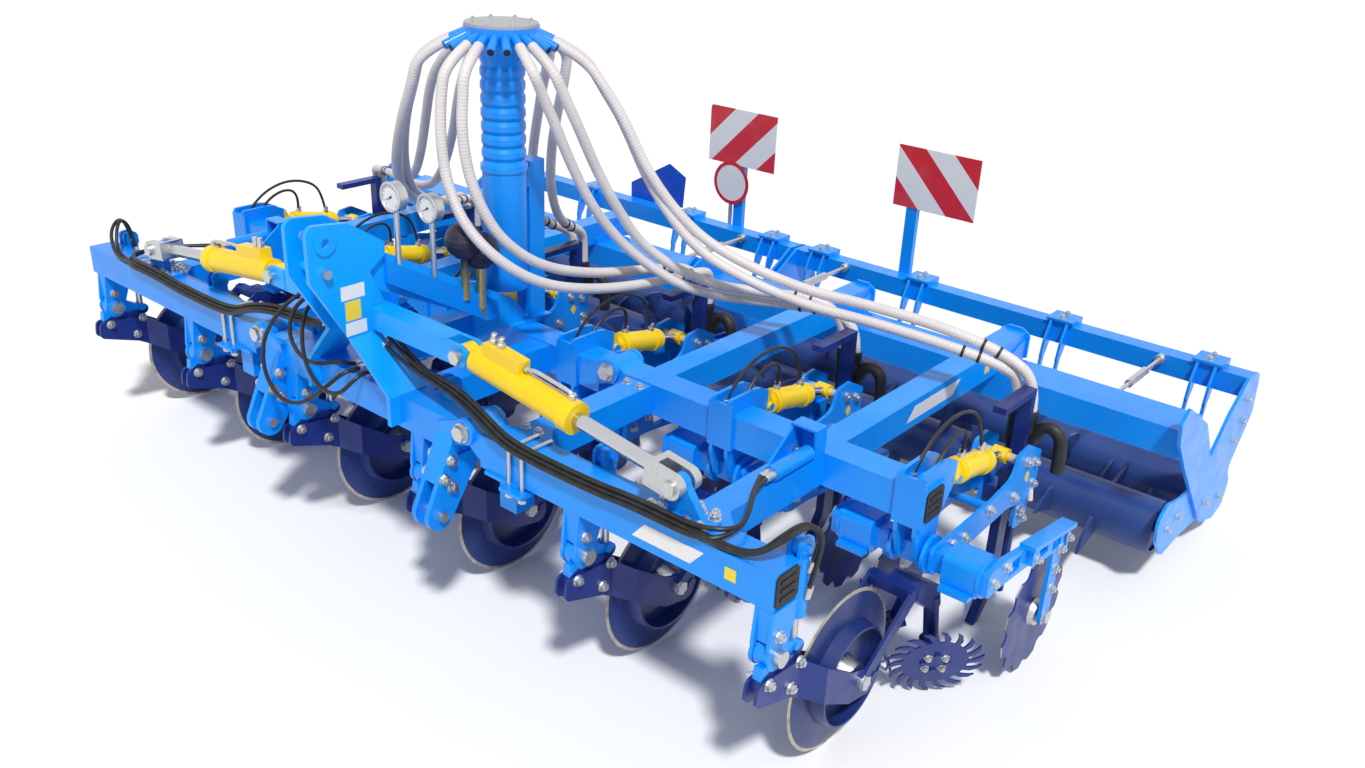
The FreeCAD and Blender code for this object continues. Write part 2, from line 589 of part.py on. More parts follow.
def row_bracket():
    """Two plates round the middle toolbar, with the front strap and the cylinder's clevis."""
    outline = [(MID_FACE - 14, TOP + 60, 15), (MID_FACE - 14, LOW - 40), (SHAFT_Y - 55, SHAFT_Z - 20, 30),
               (SHAFT_Y + 55, SHAFT_Z - 20, 30), (MID_BACK + 14, LOW - 20), (MID_BACK + 90, BEAM_Z + 10, 25),
               (MID_BACK + 128, BEAM_Z + 24, 20), (MID_BACK + 100, TOP + 26, 25),
               (MID_BACK + 40, TOP + 55, 20), (MID_BACK + 5, TOP + 60)]
    plates = [plate(outline, "x", x0, x0 + HANG_T) for x0 in (-HANG_IN - HANG_T, HANG_IN)]
    plates = [p.cut(box(-60, 60, MID_FACE, MID_BACK, LOW, TOP)) for p in plates]
    strip = box(-52, 52, MID_FACE - 14, MID_FACE, LOW - 10, TOP + 40)
    pin = rod((-HANG_IN - HANG_T - 12, JACK_FRONT[0], JACK_FRONT[1]), X, 15, 2 * (HANG_IN + HANG_T + 12))
    return plates + [strip, pin]


def cross_shaft():
    """Square shaft with its flanges and the clamped housings at both ends."""
    half = SHAFT / 2
    parts = [box(-262, 262, SHAFT_Y - half, SHAFT_Y + half, SHAFT_Z - half, SHAFT_Z + half)]
    square = offset([(-62, -62, 26), (62, -62, 26), (62, 62, 26), (-62, 62, 26)], SHAFT_Y, SHAFT_Z)
    for side in (-1, 1):
        hub = [rod((52, SHAFT_Y, SHAFT_Z), X, 66, 14), plate(square, "x", 130, 250),
               rod((250, SHAFT_Y, SHAFT_Z), X, 68, 12),
               box(138, 242, SHAFT_Y - 86, SHAFT_Y - 50, SHAFT_Z - 62, SHAFT_Z - 44)]
        parts += [flip(h, side) for h in hub]
    return parts


def row_unit():
    """Row bracket and shaft, the tine's side plates and holder, and the overload cylinder."""
    outline = [(SHAFT_Y - 46, SHAFT_Z + 48, 20), (SHAFT_Y - 46, SHAFT_Z - 52, 20),
               (SHAFT_Y + 60, SHAFT_Z - 56), (TINE_Y - 190, SHAFT_Z - 30, 20),
               (TINE_Y - 80, SHAFT_Z - 52, 15), (TINE_Y + 34, SHAFT_Z - 48, 15),
               (TINE_Y + 38, SHAFT_Z + 120, 20), (TINE_Y - 60, SHAFT_Z + 172, 25),
               (TINE_Y - 140, SHAFT_Z + 164, 20), (TINE_Y - 176, SHAFT_Z + 82, 60),
               (TINE_Y - 320, SHAFT_Z + 60), (SHAFT_Y + 60, SHAFT_Z + 48)]
    holder = [(TINE_Y - 76, SHAFT_Z + 20), (TINE_Y - 72, SHAFT_Z - 170, 20), (TINE_Y + 28, SHAFT_Z - 182, 15),
              (TINE_Y + 26, SHAFT_Z + 20)]
    sides = []
    for side in (-1, 1):
        sides += [flip(plate(outline, "x", SIDE_IN, SIDE_IN + 14), side),
                  flip(plate(holder, "x", SIDE_IN - 14, SIDE_IN), side)]
    w = SIDE_IN + 14
    ties = [rod((-w, y, z), X, 16, 2 * w) for y, z in ((700, SHAFT_Z + 20), JACK_REAR)]
    jack = cylinder_between(Vector(0, *JACK_FRONT), Vector(0, *JACK_REAR), 42, 16, 0.7)
    bracket = row_bracket()
    return join(bracket[0], bracket[1:], cross_shaft(), sides, ties, jack)


def cylinder_between(a, b, r_barrel, r_rod, share):
    """Small hydraulic cylinder between two cross pins, its barrel banded at both ends."""
    d = b - a
    length = d.Length
    axis = d.normalize()
    start, end = 62.0, length * share
    bands = [Part.makeCylinder(r_barrel + 5, 24, a + axis * s, axis) for s in (start + 16, end - 44)]
    return [Part.makeCylinder(30, 2 * HANG_IN, a - X * HANG_IN, X), Part.makeCylinder(24, start, a, axis),
            Part.makeCylinder(r_barrel, end - start, a + axis * start, axis),
            Part.makeCylinder(r_rod, length, a, axis), Part.makeCylinder(28, 56, b - X * 28, X)] + bands


def tine():
    """Shank with its point, the fertiliser tube behind it and the hose post."""
    outline = [(TINE_Y - 45, SHAFT_Z + 40), (TINE_Y - 45, 150), (TINE_Y - 130, FLOOR_GAP + 6),
               (TINE_Y - 95, FLOOR_GAP + 6), (TINE_Y + 5, 110), (TINE_Y + 20, 160),
               (TINE_Y + 20, SHAFT_Z + 40)]
    shank = plate(outline, "x", -18, 18)
    w = SIDE_IN - 14
    head = box(-w, w, TINE_Y - 60, TINE_Y + 26, SHAFT_Z - 100, SHAFT_Z - 40)
    back = TINE_Y + 30
    post = [box(-25, 25, back, back + 32, SHAFT_Z - 80, BEAM_Z + 140),
            box(-25, 25, TINE_Y - 180, back + 32, BEAM_Z + 115, BEAM_Z + 140),
            box(-25, 25, TINE_Y + 18, back + 10, SHAFT_Z - 30, SHAFT_Z + 30)]
    tube = rod((0, TINE_Y + 88, 60), Z, 24, SHAFT_Z - 80)
    clip = box(-25, 25, back + 30, back + 50, SHAFT_Z - 35, SHAFT_Z - 10)
    return join(shank, head, post, clip, tube)


def side_arm(side):
    """Ladder casting in two halves on the shaft's end, and the hanger down to a side disc."""
    z, near = SHAFT_Z, SHAFT_Y - 52
    inner = [(near, z + 46, 20), (near, z - 46, 20), (SHAFT_Y + 70, z - 46), (SIDE_Y - 130, z - 72, 8),
             (SIDE_Y - 130, z + 2, 8), (SHAFT_Y + 70, z + 46)]
    outer = [(SIDE_Y - 240, z + 22, 8), (SIDE_Y - 240, z - 48, 8), (SIDE_Y + 60, z - 96, 12),
             (SIDE_Y + 75, z - 30, 12)]
    first = plate(inner, "x", 262, 286).cut(box(250, 300, SHAFT_Y + 100, SHAFT_Y + 176, z - 34, z + 16))
    second = plate(outer, "x", 284, 308).cut(box(270, 320, SIDE_Y - 190, SIDE_Y - 120, z - 40, z - 8))
    second = second.cut(box(270, 320, SIDE_Y - 80, SIDE_Y - 10, z - 62, z - 26))
    bar = plate(slat((SIDE_Y - 260, z + 20), (SIDE_Y + 90, z - 36), 16), "x", 262, 318)
    heel = box(262, 314, SIDE_Y + 30, SIDE_Y + 46, z - 104, z - 22)
    low = SIDE_R + FLOOR_GAP
    drop = strap("x", 286, 300, (SIDE_Y, z - 60), 36, (SIDE_Y, low), 34)
    stub = rod((SIDE_DX - 14, SIDE_Y, low), X, AXLE_R, 72)
    nut = hexagon((300, SIDE_Y, low), X, 46, 14)
    return flip(join(first, second, bar, heel, drop, stub, nut), side)


def side_disc(side):
    """Notched plate disc with a domed hub."""
    points = []
    root = SIDE_R - NOTCH_DEEP
    for i in range(NOTCHES):
        mid = 2 * math.pi * i / NOTCHES
        for r, da in ((SIDE_R, -0.155), (root, -0.045), (root, 0.045), (SIDE_R, 0.155)):
            points.append((r * math.cos(mid + da), r * math.sin(mid + da)))
        rim = mid + math.pi / NOTCHES
        points.append((SIDE_R * math.cos(rim), SIDE_R * math.sin(rim)))
    blade = Part.Face(wire(points)).extrude(Vector(0, 0, SIDE_T))
    hub = turned([(0, -16), (42, -16), (52, 0), (52, SIDE_T), (46, 26), (0, 26)], (0, 0, 0), (0, 0, 1))
    disc = join(blade, hub).cut(Part.makeCylinder(AXLE_R + FIT, 80, Vector(0, 0, -40)))
    return flip(placed(disc, (SIDE_DX, SIDE_Y, SIDE_R + FLOOR_GAP), (1, 0, 0)), side)


# ---- roller frame -----------------------------------------------------------------------------
def crescent():
    """Outline of the outer end plate: a band from the cross beam down to the rear roller, a
    notch, and an arm up to the rear bar."""
    z, low, rear = BEAM_Z, TIP_R, ROLLER_Y[1]
    return [(CROSS_Y - 208, z + 14, 12), (CROSS_Y - 136, z + 58, 12), (CROSS_Y + 149, z - 104, 120),
            (rear - 128, z - 290, 50), (rear - 170, z - 338, 20), (rear - 95, z - 312, 15),
            (rear + 52, z - 178), (REAR_Y - 130, REAR_Z - 2, 60), (REAR_Y - 50, REAR_Z + 47, 20),
            (REAR_Y + 110, REAR_Z + 40, 80), (REAR_Y + 155, REAR_Z - 180, 60),
            (REAR_Y + 36, low + 108), (rear + 240, low + 30, 60),
            (rear + 322, low - 60, 60), (rear + 302, low - 172, 60), (rear + 171, low - 186, 40),
            (rear - 20, low - 122, 70), (rear - 115, low - 35, 60), (CROSS_Y + 130, low + 154, 300),
            (CROSS_Y - 36, z - 226), (CROSS_Y - 165, z - 88, 60)]


def carrier():
    """Outline of the inner end plate that holds the rollers' bearings."""
    y0, y1 = ROLLER_Y
    low = TIP_R
    return [(y0 - 180, low + 111, 50), (y0 - 153, low + 17, 60), (y0 - 46, low - 93, 60),
            (y0 + 160, low - 89), (y1, low - 110, 60), (y1 + 80, low, 40), (y1, low + 100, 40),
            (y0 + 60, low + 125), (y0 - 113, low + 163, 60)]


def roller_frame():
    """Cross beam, then at each end a crescent plate, a carrier plate, bearings and stub shafts."""
    inner = (FRAME_X0 + CRESCENT_T, FRAME_X1 - CRESCENT_T)
    top = RAIL_LOW
    pieces = [box(inner[0], inner[1], CROSS_Y - CROSS_W / 2, CROSS_Y + CROSS_W / 2, top - CROSS_H, top),
              plate(crescent(), "x", FRAME_X0, inner[0]), plate(crescent(), "x", inner[1], FRAME_X1)]
    for end, way in ((inner[0], 1), (inner[1], -1)):
        holder = plate(carrier(), "x", min(end, end + way * CARRIER_T), max(end, end + way * CARRIER_T))
        for y in ROLLER_Y:
            bearing = rod((end, y, TIP_R), X * way, 62, CARRIER_T + BEARING_T)
            holder = join(holder, bearing, rod((end, y, TIP_R), X * way, 25, 46))
        pieces.append(holder)
    return pieces


def fin(turn_deg, x):
    """Hooked blade welded on the roller tube."""
    tip = math.sqrt(TIP_R ** 2 - TIP_LEAN ** 2)
    pts = [(TUBE_R - 12, -62), (TUBE_R + 22, -58), (TUBE_R + 86, -34), (tip, TIP_LEAN), (TIP_R - 46, 14),
           (TUBE_R + 42, 30), (TUBE_R - 12, 48)]
    blade = plate(pts, "x", x - FIN_T / 2, x + FIN_T / 2)
    blade.rotate(Vector(0, 0, 0), X, turn_deg)
    return blade


def roller(k):
    """Tube roller with its blades in two spirals; k = 0 is the front one."""
    y = ROLLER_Y[k]
    length = ROLLER_X1 - ROLLER_X0
    tube = ring((ROLLER_X0, 0, 0), X, TUBE_R, TUBE_R - 10, length)
    ends = [ring((x0, 0, 0), X, TUBE_R - 9, 25 + FIT, 14) for x0 in (ROLLER_X0 + 10, ROLLER_X1 - 24)]
    pitch = (length - 180) / RINGS
    lean = math.degrees(math.asin(TIP_LEAN / TIP_R))
    blades = []
    for i in range(RINGS):
        x = ROLLER_X0 + 90 + pitch * (i + (0.25 if k == 0 else 0.75))
        for half in (0, 180):
            blades.append(fin(30 * i + half - 90 - lean, x))
    core = rod((ROLLER_X0, 0, 0), X, TUBE_R, length)
    pieces = [join(tube, ends)] + [b.cut(core) for b in blades]
    for p in pieces:
        p.translate(Vector(0, y, TIP_R))
    return pieces


def bar_clamp(x):
    """Clamp round the rear bar: top plate, back plate, two boomerang cheeks and their scrapers."""
    half = REAR_BAR / 2
    face, back = REAR_Y - half, REAR_Y + half
    top = REAR_Z + half
    cheek = [(face - 14, top + 14, 15), (face, top + 14), (face, top - 80), (face - 20, top - 120),
             (face - 50, top - 165, 10), (face - 72, top - 150, 15), (face - 58, top - 70, 25)]
    parts = [box(x - 62, x + 62, face - 14, back + 14, top + 14, top + 26),
             box(x - 62, x + 62, back, back + 12, top - 95, top + 14),
             box(x - 62, x + 62, face, back, top, top + 14)]
    reach = TUBE_R + 16
    touch = math.radians(15)
    end = (ROLLER_Y[1] + reach * math.cos(touch), TIP_R + reach * math.sin(touch))
    for dx in (-44, 32):
        parts.append(plate(cheek, "x", x + dx, x + dx + 12))
        parts.append(plate(slat((face - 64, top - 135), end, 26), "x", x + dx, x + dx + 12))
    return parts


def rear_bar(side):
    bar = box(FRAME_X0 + CRESCENT_T, FRAME_X1 - CRESCENT_T, REAR_Y - REAR_BAR / 2, REAR_Y + REAR_BAR / 2,
              REAR_Z - REAR_BAR / 2, REAR_Z + REAR_BAR / 2)
    return flip(join(bar, [bar_clamp(x) for x in CLAMP_X]), side)


def warning_board(x_post, x0, x1):
    back = REAR_Y + REAR_BAR / 2
    post = box(x_post - 30, x_post + 30, back + 0.3, back + 30, REAR_Z - 65, REAR_Z + 415)
    board = box(x0, x1, back - 4, back + 0.3, REAR_Z + 380, REAR_Z + 680)
    return join(post, board)


# ---- seed distributor ----------------------------------------------------------------------------
DIST_Y = MID_Y - 31.0
POST_Y = MID_Y + 100.0
TUBE_OD = 168.0
HEAD_TOP = BEAM_Z + 1230.0
OUTLETS = 24
OUTLET_R = 17.0
OUTLET_DROP = 0.45      # fall of an outlet over its run
LID_R = 135.0
WAVES, WAVE = 7, 50.0


def distributor():
    """Ribbed delivery tube on its post, under a flared head with a ring of outlets."""
    post = box(-40, 40, POST_Y - 40, POST_Y + 40, RAIL_LOW, BEAM_Z + 710)
    arm = box(-40, 40, DIST_Y + 60, POST_Y - 38, BEAM_Z + 610, BEAM_Z + 690)
    seat = box(-70, 70, MID_Y + 12, POST_Y + 50, TOP, TOP + 14)
    r = TUBE_OD / 2
    neck = HEAD_TOP - 150
    z = neck - WAVES * WAVE
    prof = [(0, BEAM_Z + 220), (r, BEAM_Z + 220), (r, z - 40), (r + 6, z - 40), (r + 6, z - 20), (r, z - 20)]
    for i in range(WAVES):
        prof += [(r - 7, z), (r, z + 0.3 * WAVE), (r, z + 0.7 * WAVE)]
        z += WAVE
    prof += [(r - 7, neck), (LID_R - 28, HEAD_TOP - 72), (LID_R, HEAD_TOP - 48), (LID_R + 4, HEAD_TOP - 40),
             (LID_R + 4, HEAD_TOP - 10), (LID_R, HEAD_TOP - 10), (LID_R, HEAD_TOP), (0, HEAD_TOP)]
    tower = turned(prof, (0, DIST_Y, 0), (0, 0, 1))
    outlets = []
    for i in range(OUTLETS):
        a = 2 * math.pi * (i + 0.5) / OUTLETS
        out = Vector(math.cos(a), math.sin(a), 0)
        start = Vector(0, DIST_Y, HEAD_TOP - 24) + out * (LID_R - 35)
        outlets.append(Part.makeCylinder(OUTLET_R, 127, start, out - Z * OUTLET_DROP))
    return join(tower, post, arm, seat, outlets)


def gauge_block():
    """Valve strip on the brace's left side with two gauges and two accumulators."""
    x = MAST_X - MAST_T
    strip = plate([(-330, BEAM_Z + 485), (-330, BEAM_Z + 400), (120, BEAM_Z + 135), (180, BEAM_Z + 135),
                   (180, BEAM_Z + 200)], "x", x, x + 22)
    pieces = []
    for y, z in ((-272.0, BEAM_Z + 700), (-118.0, BEAM_Z + 630)):
        pieces += [rod((x + 11, y, z - 260), Z, 10, 210), rod((x + 11, y - 16, z), Y, 52, 32)]
    bulb = [(0, -72), (36, -62), (62, -36), (72, -10), (72, 10), (62, 36), (36, 62), (0, 72)]
    for y, z in ((20.0, BEAM_Z + 480), (95.0, BEAM_Z + 425)):
        pieces += [rod((x + 18, y, z - 230), Z, 16, 200), turned(bulb, (x + 18, y, z), (0, 0, 1))]
    return join(strip, pieces)


# ---- build ------------------------------------------------------------------------------------------
def main():
    os.makedirs("parts", exist_ok=True)
    save("centre_front_beam", centre_front_beam())
    save("centre_mid_beam", centre_mid_beam())
    save("centre_rails", centre_rails())
    save("headstock", headstock())
    save("distributor", distributor())
    save("gauge_block", gauge_block())
    unit = disc_unit()
    row = [row_unit(), tine(), side_arm(1), side_arm(-1)]
    groups = {"right": (0, 1), "centre": (2, 3), "left": (4, 5)}
    for group, rows in groups.items():
        save("disc_arms_" + group, [moved(unit, ROWS[i]) for i in rows])
        save("row_units_" + group, [moved(p, ROWS[i]) for i in rows for p in row])
    for side, name in ((1, "left"), (-1, "right")):
        save("front_beam_" + name, flip(wing_front_beam(FRONT_END[0 if side > 0 else 1]), side))
        save("mid_beam_" + name, flip(wing_mid_beam(), side))
        save("arms_" + name, [flip(p, side) for p in wing_arms()])
        save("roller_frame_" + name, [flip(p, side) for p in roller_frame()])
        board = warning_board(610, 505, 945) if side > 0 else warning_board(-450, -665, -225)
        save("rear_bar_" + name, rear_bar(side), board)
        save("fold_barrel_" + name, flip(fold_barrel(), side))
        save("fold_rod_" + name, flip(fold_rod(), side))
        for k, where in enumerate(("front", "rear")):
            save("roller_%s_%s" % (where, name), [flip(p, side) for p in roller(k)])
    disc = cutting_disc()
    for i, x in enumerate(ROWS):
        save("cutting_disc_%d" % (i + 1), moved(disc, x))
        for side, tag in ((-1, "r"), (1, "l")):
            save("star_%d%s" % (i + 1, tag), moved(star_placed(side), x))
            save("side_disc_%d%s" % (i + 1, tag), moved(side_disc(side), x))


main()
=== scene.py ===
"""Looks of a folding strip-till cultivator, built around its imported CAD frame.

Lengths are metres. Places are given as on the machine: x to its left, y rearwards from the line of the
cutting discs' axles, z up from the ground; at() turns them into the frame's own coordinates.
"""

import math

import bmesh
import bpy
import numpy as np
from mathutils import Matrix, Vector
from mathutils.bvhtree import BVHTree

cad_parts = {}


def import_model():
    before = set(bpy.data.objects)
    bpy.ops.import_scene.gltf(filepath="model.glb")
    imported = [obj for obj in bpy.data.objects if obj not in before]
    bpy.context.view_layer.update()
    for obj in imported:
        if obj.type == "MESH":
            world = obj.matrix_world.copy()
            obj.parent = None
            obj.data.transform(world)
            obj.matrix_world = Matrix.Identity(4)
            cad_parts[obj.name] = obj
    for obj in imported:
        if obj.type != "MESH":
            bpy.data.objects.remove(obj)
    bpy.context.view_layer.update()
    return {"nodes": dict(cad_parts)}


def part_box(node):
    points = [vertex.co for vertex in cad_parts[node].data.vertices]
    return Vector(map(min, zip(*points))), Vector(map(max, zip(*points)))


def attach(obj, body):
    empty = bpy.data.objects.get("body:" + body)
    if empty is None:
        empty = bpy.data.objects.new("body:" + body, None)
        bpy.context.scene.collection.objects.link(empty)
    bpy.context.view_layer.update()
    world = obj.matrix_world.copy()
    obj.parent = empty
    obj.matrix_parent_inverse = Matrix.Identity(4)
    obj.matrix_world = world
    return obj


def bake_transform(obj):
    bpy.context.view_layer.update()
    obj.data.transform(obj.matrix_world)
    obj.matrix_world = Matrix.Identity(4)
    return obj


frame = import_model()
NODES = frame["nodes"]

# ---- driving dimensions ----
ROW = 0.75
ROWS = [(i - 2.5) * ROW for i in range(6)]
SIDES = (("left", 1), ("right", -1))
AXLE_LINE = -0.9275
BEAM, BEAM_Z = 0.120, 0.790
BEAM_TOP = BEAM_Z + BEAM / 2
FRONT_Y, MID_Y = -0.380, 0.316
HINGE_X, HINGE_Z, HINGE_PIN_R = 0.595, 0.840, 0.0345
# Pins and axles: (y, z), or (x, z) for the folding cylinder.
HANGER_PIVOT, DISC_AXLE, SIDE_DISC_AXLE = (-0.408, 0.572), (0, 0.28), (0.8, 0.234)
MAST_PIN, LINK_PIN = (-0.581, 1.286), (-0.522, 0.529)
CYLINDER_BASE, EAR_PIN = (0.535, 1.081), (1.456, 0.958)
CYLINDER_WAY = (0.9912, -0.1324)
# Ends of the overload cylinder, (y, z), and the disc arm's adjusting rod, (x from its row, y).
JACK_FRONT, JACK_REAR = (0.478, 0.812), (0.905, 0.722)
JACK_LENGTH = math.dist(JACK_FRONT, JACK_REAR)
JACK_WAY = [(rear - front) / JACK_LENGTH for front, rear in zip(JACK_FRONT, JACK_REAR)]
ADJUSTING_ROD = (-0.046, -0.282)
# Gauges by (y, z), accumulators by (x, y).
GAUGE_X, GAUGES = 0.061, ((-0.272, 1.490), (-0.118, 1.420))
ACCUMULATORS = ((0.068, 0.020), (0.068, 0.095))
# Distributor head and its outlets.
HEAD_Y, OUTLET_TIP_R, OUTLET_TIP_Z = 0.285, 0.216, 1.944
OUTLETS, OUTLET_FALL = 24, -0.45
# Hoses: diameters, how far a seed hose starts inside its outlet and runs straight on from it, and the two
# posts behind each tine that it drops into.
SEED_HOSE_D, OIL_HOSE_D, OVERLOAD_HOSE_D = 0.040, 0.0155, 0.013
IN_OUTLET, OUTLET_LEAD = 0.035, 0.13
POST_Y, OUTER_DX, INNER_DX = 1.100, 0.008, -0.048
# The lock tube's two hose ports, in x.
LOCK_PORT_X, LOCK_PORT_PITCH = 1.522, 0.016
PLATE = 0.001


def at(x, y, z):
    return Vector((x, y + AXLE_LINE, z))


def side_name(x):
    """The body that carries a fixed piece at x."""
    if abs(x) < HINGE_X:
        return "centre_frame"
    return "wing_left" if x > 0 else "wing_right"


# ---- materials ----
RED, DUST, GRIME = (0.66, 0.018, 0.030), (0.62, 0.60, 0.55), (0.55, 0.53, 0.50)
STRIPE_START, STRIPE_WIDTH, STRIPE_EDGE = 0.2425, 0.1525, 0.076


def put(tree, socket, value):
    """Links an input to another node's output or gives it a value; a tuple is a colour without its alpha."""
    if isinstance(value, bpy.types.NodeSocket):
        tree.links.new(value, socket)
    else:
        socket.default_value = (*value, 1) if isinstance(value, tuple) else value


def add(tree, kind, inputs=(), **settings):
    """A new node; inputs holds a value or another node's output for each input that isn't left alone."""
    n = tree.nodes.new(kind)
    for k, v in settings.items():
        setattr(n, k, v)
    for k, v in dict(inputs).items():
        put(tree, n.inputs[k], v)
    return n


def maths(tree, operation, *values):
    return add(tree, "ShaderNodeMath", enumerate(values), operation=operation).outputs[0]


def node_material(name, colour, rough=0.4, metal=0.0, spec=0.5, coat=0.0):
    """A new material, its node tree and its shader."""
    m = bpy.data.materials.new(name)
    m.use_nodes = True
    b = m.node_tree.nodes["Principled BSDF"]
    for k, v in (("Base Color", colour), ("Roughness", rough), ("Metallic", metal),
                 ("Specular IOR Level", spec), ("Coat Weight", coat), ("Coat Roughness", 0.08)):
        put(m.node_tree, b.inputs[k], v)
    return m, m.node_tree, b


def object_place(tree):
    return add(tree, "ShaderNodeTexCoord").outputs["Object"]


def noise(tree, scale, detail=3.0, rough=0.55):
    values = {"Vector": object_place(tree), "Scale": scale, "Detail": detail, "Roughness": rough}
    return add(tree, "ShaderNodeTexNoise", values).outputs["Fac"]


def ramp(tree, source, low, high, a, b):
    values = {"Value": source, "From Min": low, "From Max": high, "To Min": a, "To Max": b}
    return add(tree, "ShaderNodeMapRange", values, clamp=True).outputs["Result"]


def mix(tree, fac, a, b):
    return add(tree, "ShaderNodeMix", {"Factor": fac, "A": a, "B": b}, data_type="RGBA").outputs["Result"]


def bump(tree, b, source, strength, distance):
    n = add(tree, "ShaderNodeBump", {"Height": source, "Strength": strength, "Distance": distance})
    tree.links.new(n.outputs["Normal"], b.inputs["Normal"])


def paint(name, colour, dark, rough=0.3):
    """Sprayed enamel: slow colour drift, dusty patches, orange peel."""
    m, t, b = node_material(name, colour, rough, 0.0, 0.38, 0.12)
    drift = ramp(t, noise(t, 1.7, 4.0), 0.35, 0.65, 0.0, 1.0)
    base = mix(t, drift, colour, dark)
    dust = ramp(t, noise(t, 9.0, 6.0, 0.7), 0.62, 0.80, 0.0, 0.06)
    base = mix(t, dust, base, DUST)
    t.links.new(base, b.inputs["Base Color"])
    wear = ramp(t, noise(t, 14.0, 5.0), 0.3, 0.8, rough - 0.06, rough + 0.16)
    t.links.new(wear, b.inputs["Roughness"])
    bump(t, b, noise(t, 260.0, 2.0), 0.06, 0.001)
    return m


def metal(name, colour, rough, patches, spangle=60.0):
    """Bare or plated metal with crystal patches, as dark as patches says."""
    m, t, b = node_material(name, colour, rough, 1.0)
    v = add(t, "ShaderNodeTexVoronoi", {"Vector": object_place(t), "Scale": spangle})
    dark = tuple(c * patches for c in colour)
    flat = mix(t, ramp(t, v.outputs["Distance"], 0.1, 0.6, 0.0, 1.0), dark, colour)
    t.links.new(flat, b.inputs["Base Color"])
    wear = ramp(t, noise(t, 30.0, 4.0), 0.3, 0.7, rough, min(1.0, rough + 0.22))
    t.links.new(wear, b.inputs["Roughness"])
    bump(t, b, noise(t, 180.0, 3.0), 0.10, 0.0008)
    return m


def rubber(name, colour, rough=0.6):
    """Rubber or plain plastic with paler, scuffed patches."""
    m, t, b = node_material(name, colour, rough, 0.0, 0.35)
    lift = tuple(min(1.0, c * 1.7 + 0.02) for c in colour)
    scuffed = mix(t, ramp(t, noise(t, 22.0, 5.0), 0.45, 0.75, 0.0, 0.6), colour, lift)
    t.links.new(scuffed, b.inputs["Base Color"])
    bump(t, b, noise(t, 420.0, 2.0), 0.15, 0.0006)
    return m


def ribbed(name, colour, pitch):
    """Wound plastic hose: ribs a pitch apart along the piece's own map, in metres."""
    m, t, b = node_material(name, colour, 0.42, 0.0, 0.40)
    dark = tuple(c * 0.90 for c in colour)
    mottled = mix(t, ramp(t, noise(t, 6.0, 3.0), 0.40, 0.70, 0.0, 1.0), colour, dark)
    t.links.new(mottled, b.inputs["Base Color"])
    split = add(t, "ShaderNodeSeparateXYZ", {0: add(t, "ShaderNodeUVMap", uv_map="along").outputs[0]})
    turns = maths(t, "MULTIPLY", split.outputs["Y"], 2 * math.pi / pitch)
    bump(t, b, maths(t, "SINE", turns), 0.35, 0.0012)
    return m


LIGHT_BLUE = paint("light_blue_enamel", (0.0, 0.295, 0.93), (0.0, 0.240, 0.85))
DARK_BLUE = paint("ultramarine_enamel", (0.010, 0.030, 0.215), (0.006, 0.020, 0.150), 0.36)
ROLLER_BLUE = paint("roller_blue", (0.022, 0.062, 0.235), (0.014, 0.040, 0.165), 0.44)
YELLOW = paint("yellow_enamel", (0.93, 0.66, 0.008), (0.86, 0.57, 0.004), 0.26)
ZINC = metal("zinc_plate", (0.60, 0.61, 0.61), 0.30, 0.88, 90.0)
CHROME = metal("chrome_rod", (0.56, 0.57, 0.60), 0.08, 0.99, 4.0)
BRASS = metal("brass", (0.72, 0.52, 0.20), 0.3, 0.8)
WORN_STEEL = metal("worn_edge", (0.55, 0.50, 0.42), 0.38, 0.62, 25.0)
BLACK_RUBBER = rubber("black_rubber", (0.012, 0.012, 0.014), 0.5)
ACCUMULATOR = paint("accumulator_black", (0.020, 0.018, 0.045), (0.012, 0.010, 0.030), 0.45)
WHITE_HOSE = ribbed("white_hose", (0.70, 0.655, 0.65), 0.012)
WHITE_PIPE = rubber("white_pipe", (0.70, 0.66, 0.62), 0.42)
AZURE = paint("azure_enamel", (0.0, 0.385, 0.98), (0.0, 0.320, 0.91), 0.34)
DISC_BLUE = paint("disc_enamel", (0.016, 0.040, 0.200), (0.010, 0.024, 0.130), 0.30)
GREY_LID = paint("grey_lid", (0.42, 0.43, 0.45), (0.36, 0.37, 0.40), 0.5)
TAN_SLEEVE = rubber("tan_corrugated_sleeve", (0.55, 0.42, 0.28), 0.6)
BLANK_WHITE = paint("blank_white_plate", (0.80, 0.80, 0.80), (0.74, 0.74, 0.75), 0.3)
BLANK_YELLOW = paint("blank_yellow_plate", (0.86, 0.66, 0.03), (0.80, 0.60, 0.03), 0.3)
SIGN_BLUE = paint("sign_blue", (0.004, 0.085, 0.560), (0.003, 0.070, 0.480), 0.3)
SIGN_RED = paint("sign_red", RED, (0.58, 0.016, 0.026), 0.3)
DIAL_FACE = rubber("dial_face", (0.78, 0.78, 0.76), 0.3)
OIL_HOSE = rubber("oil_hose", (0.014, 0.014, 0.016), 0.42)


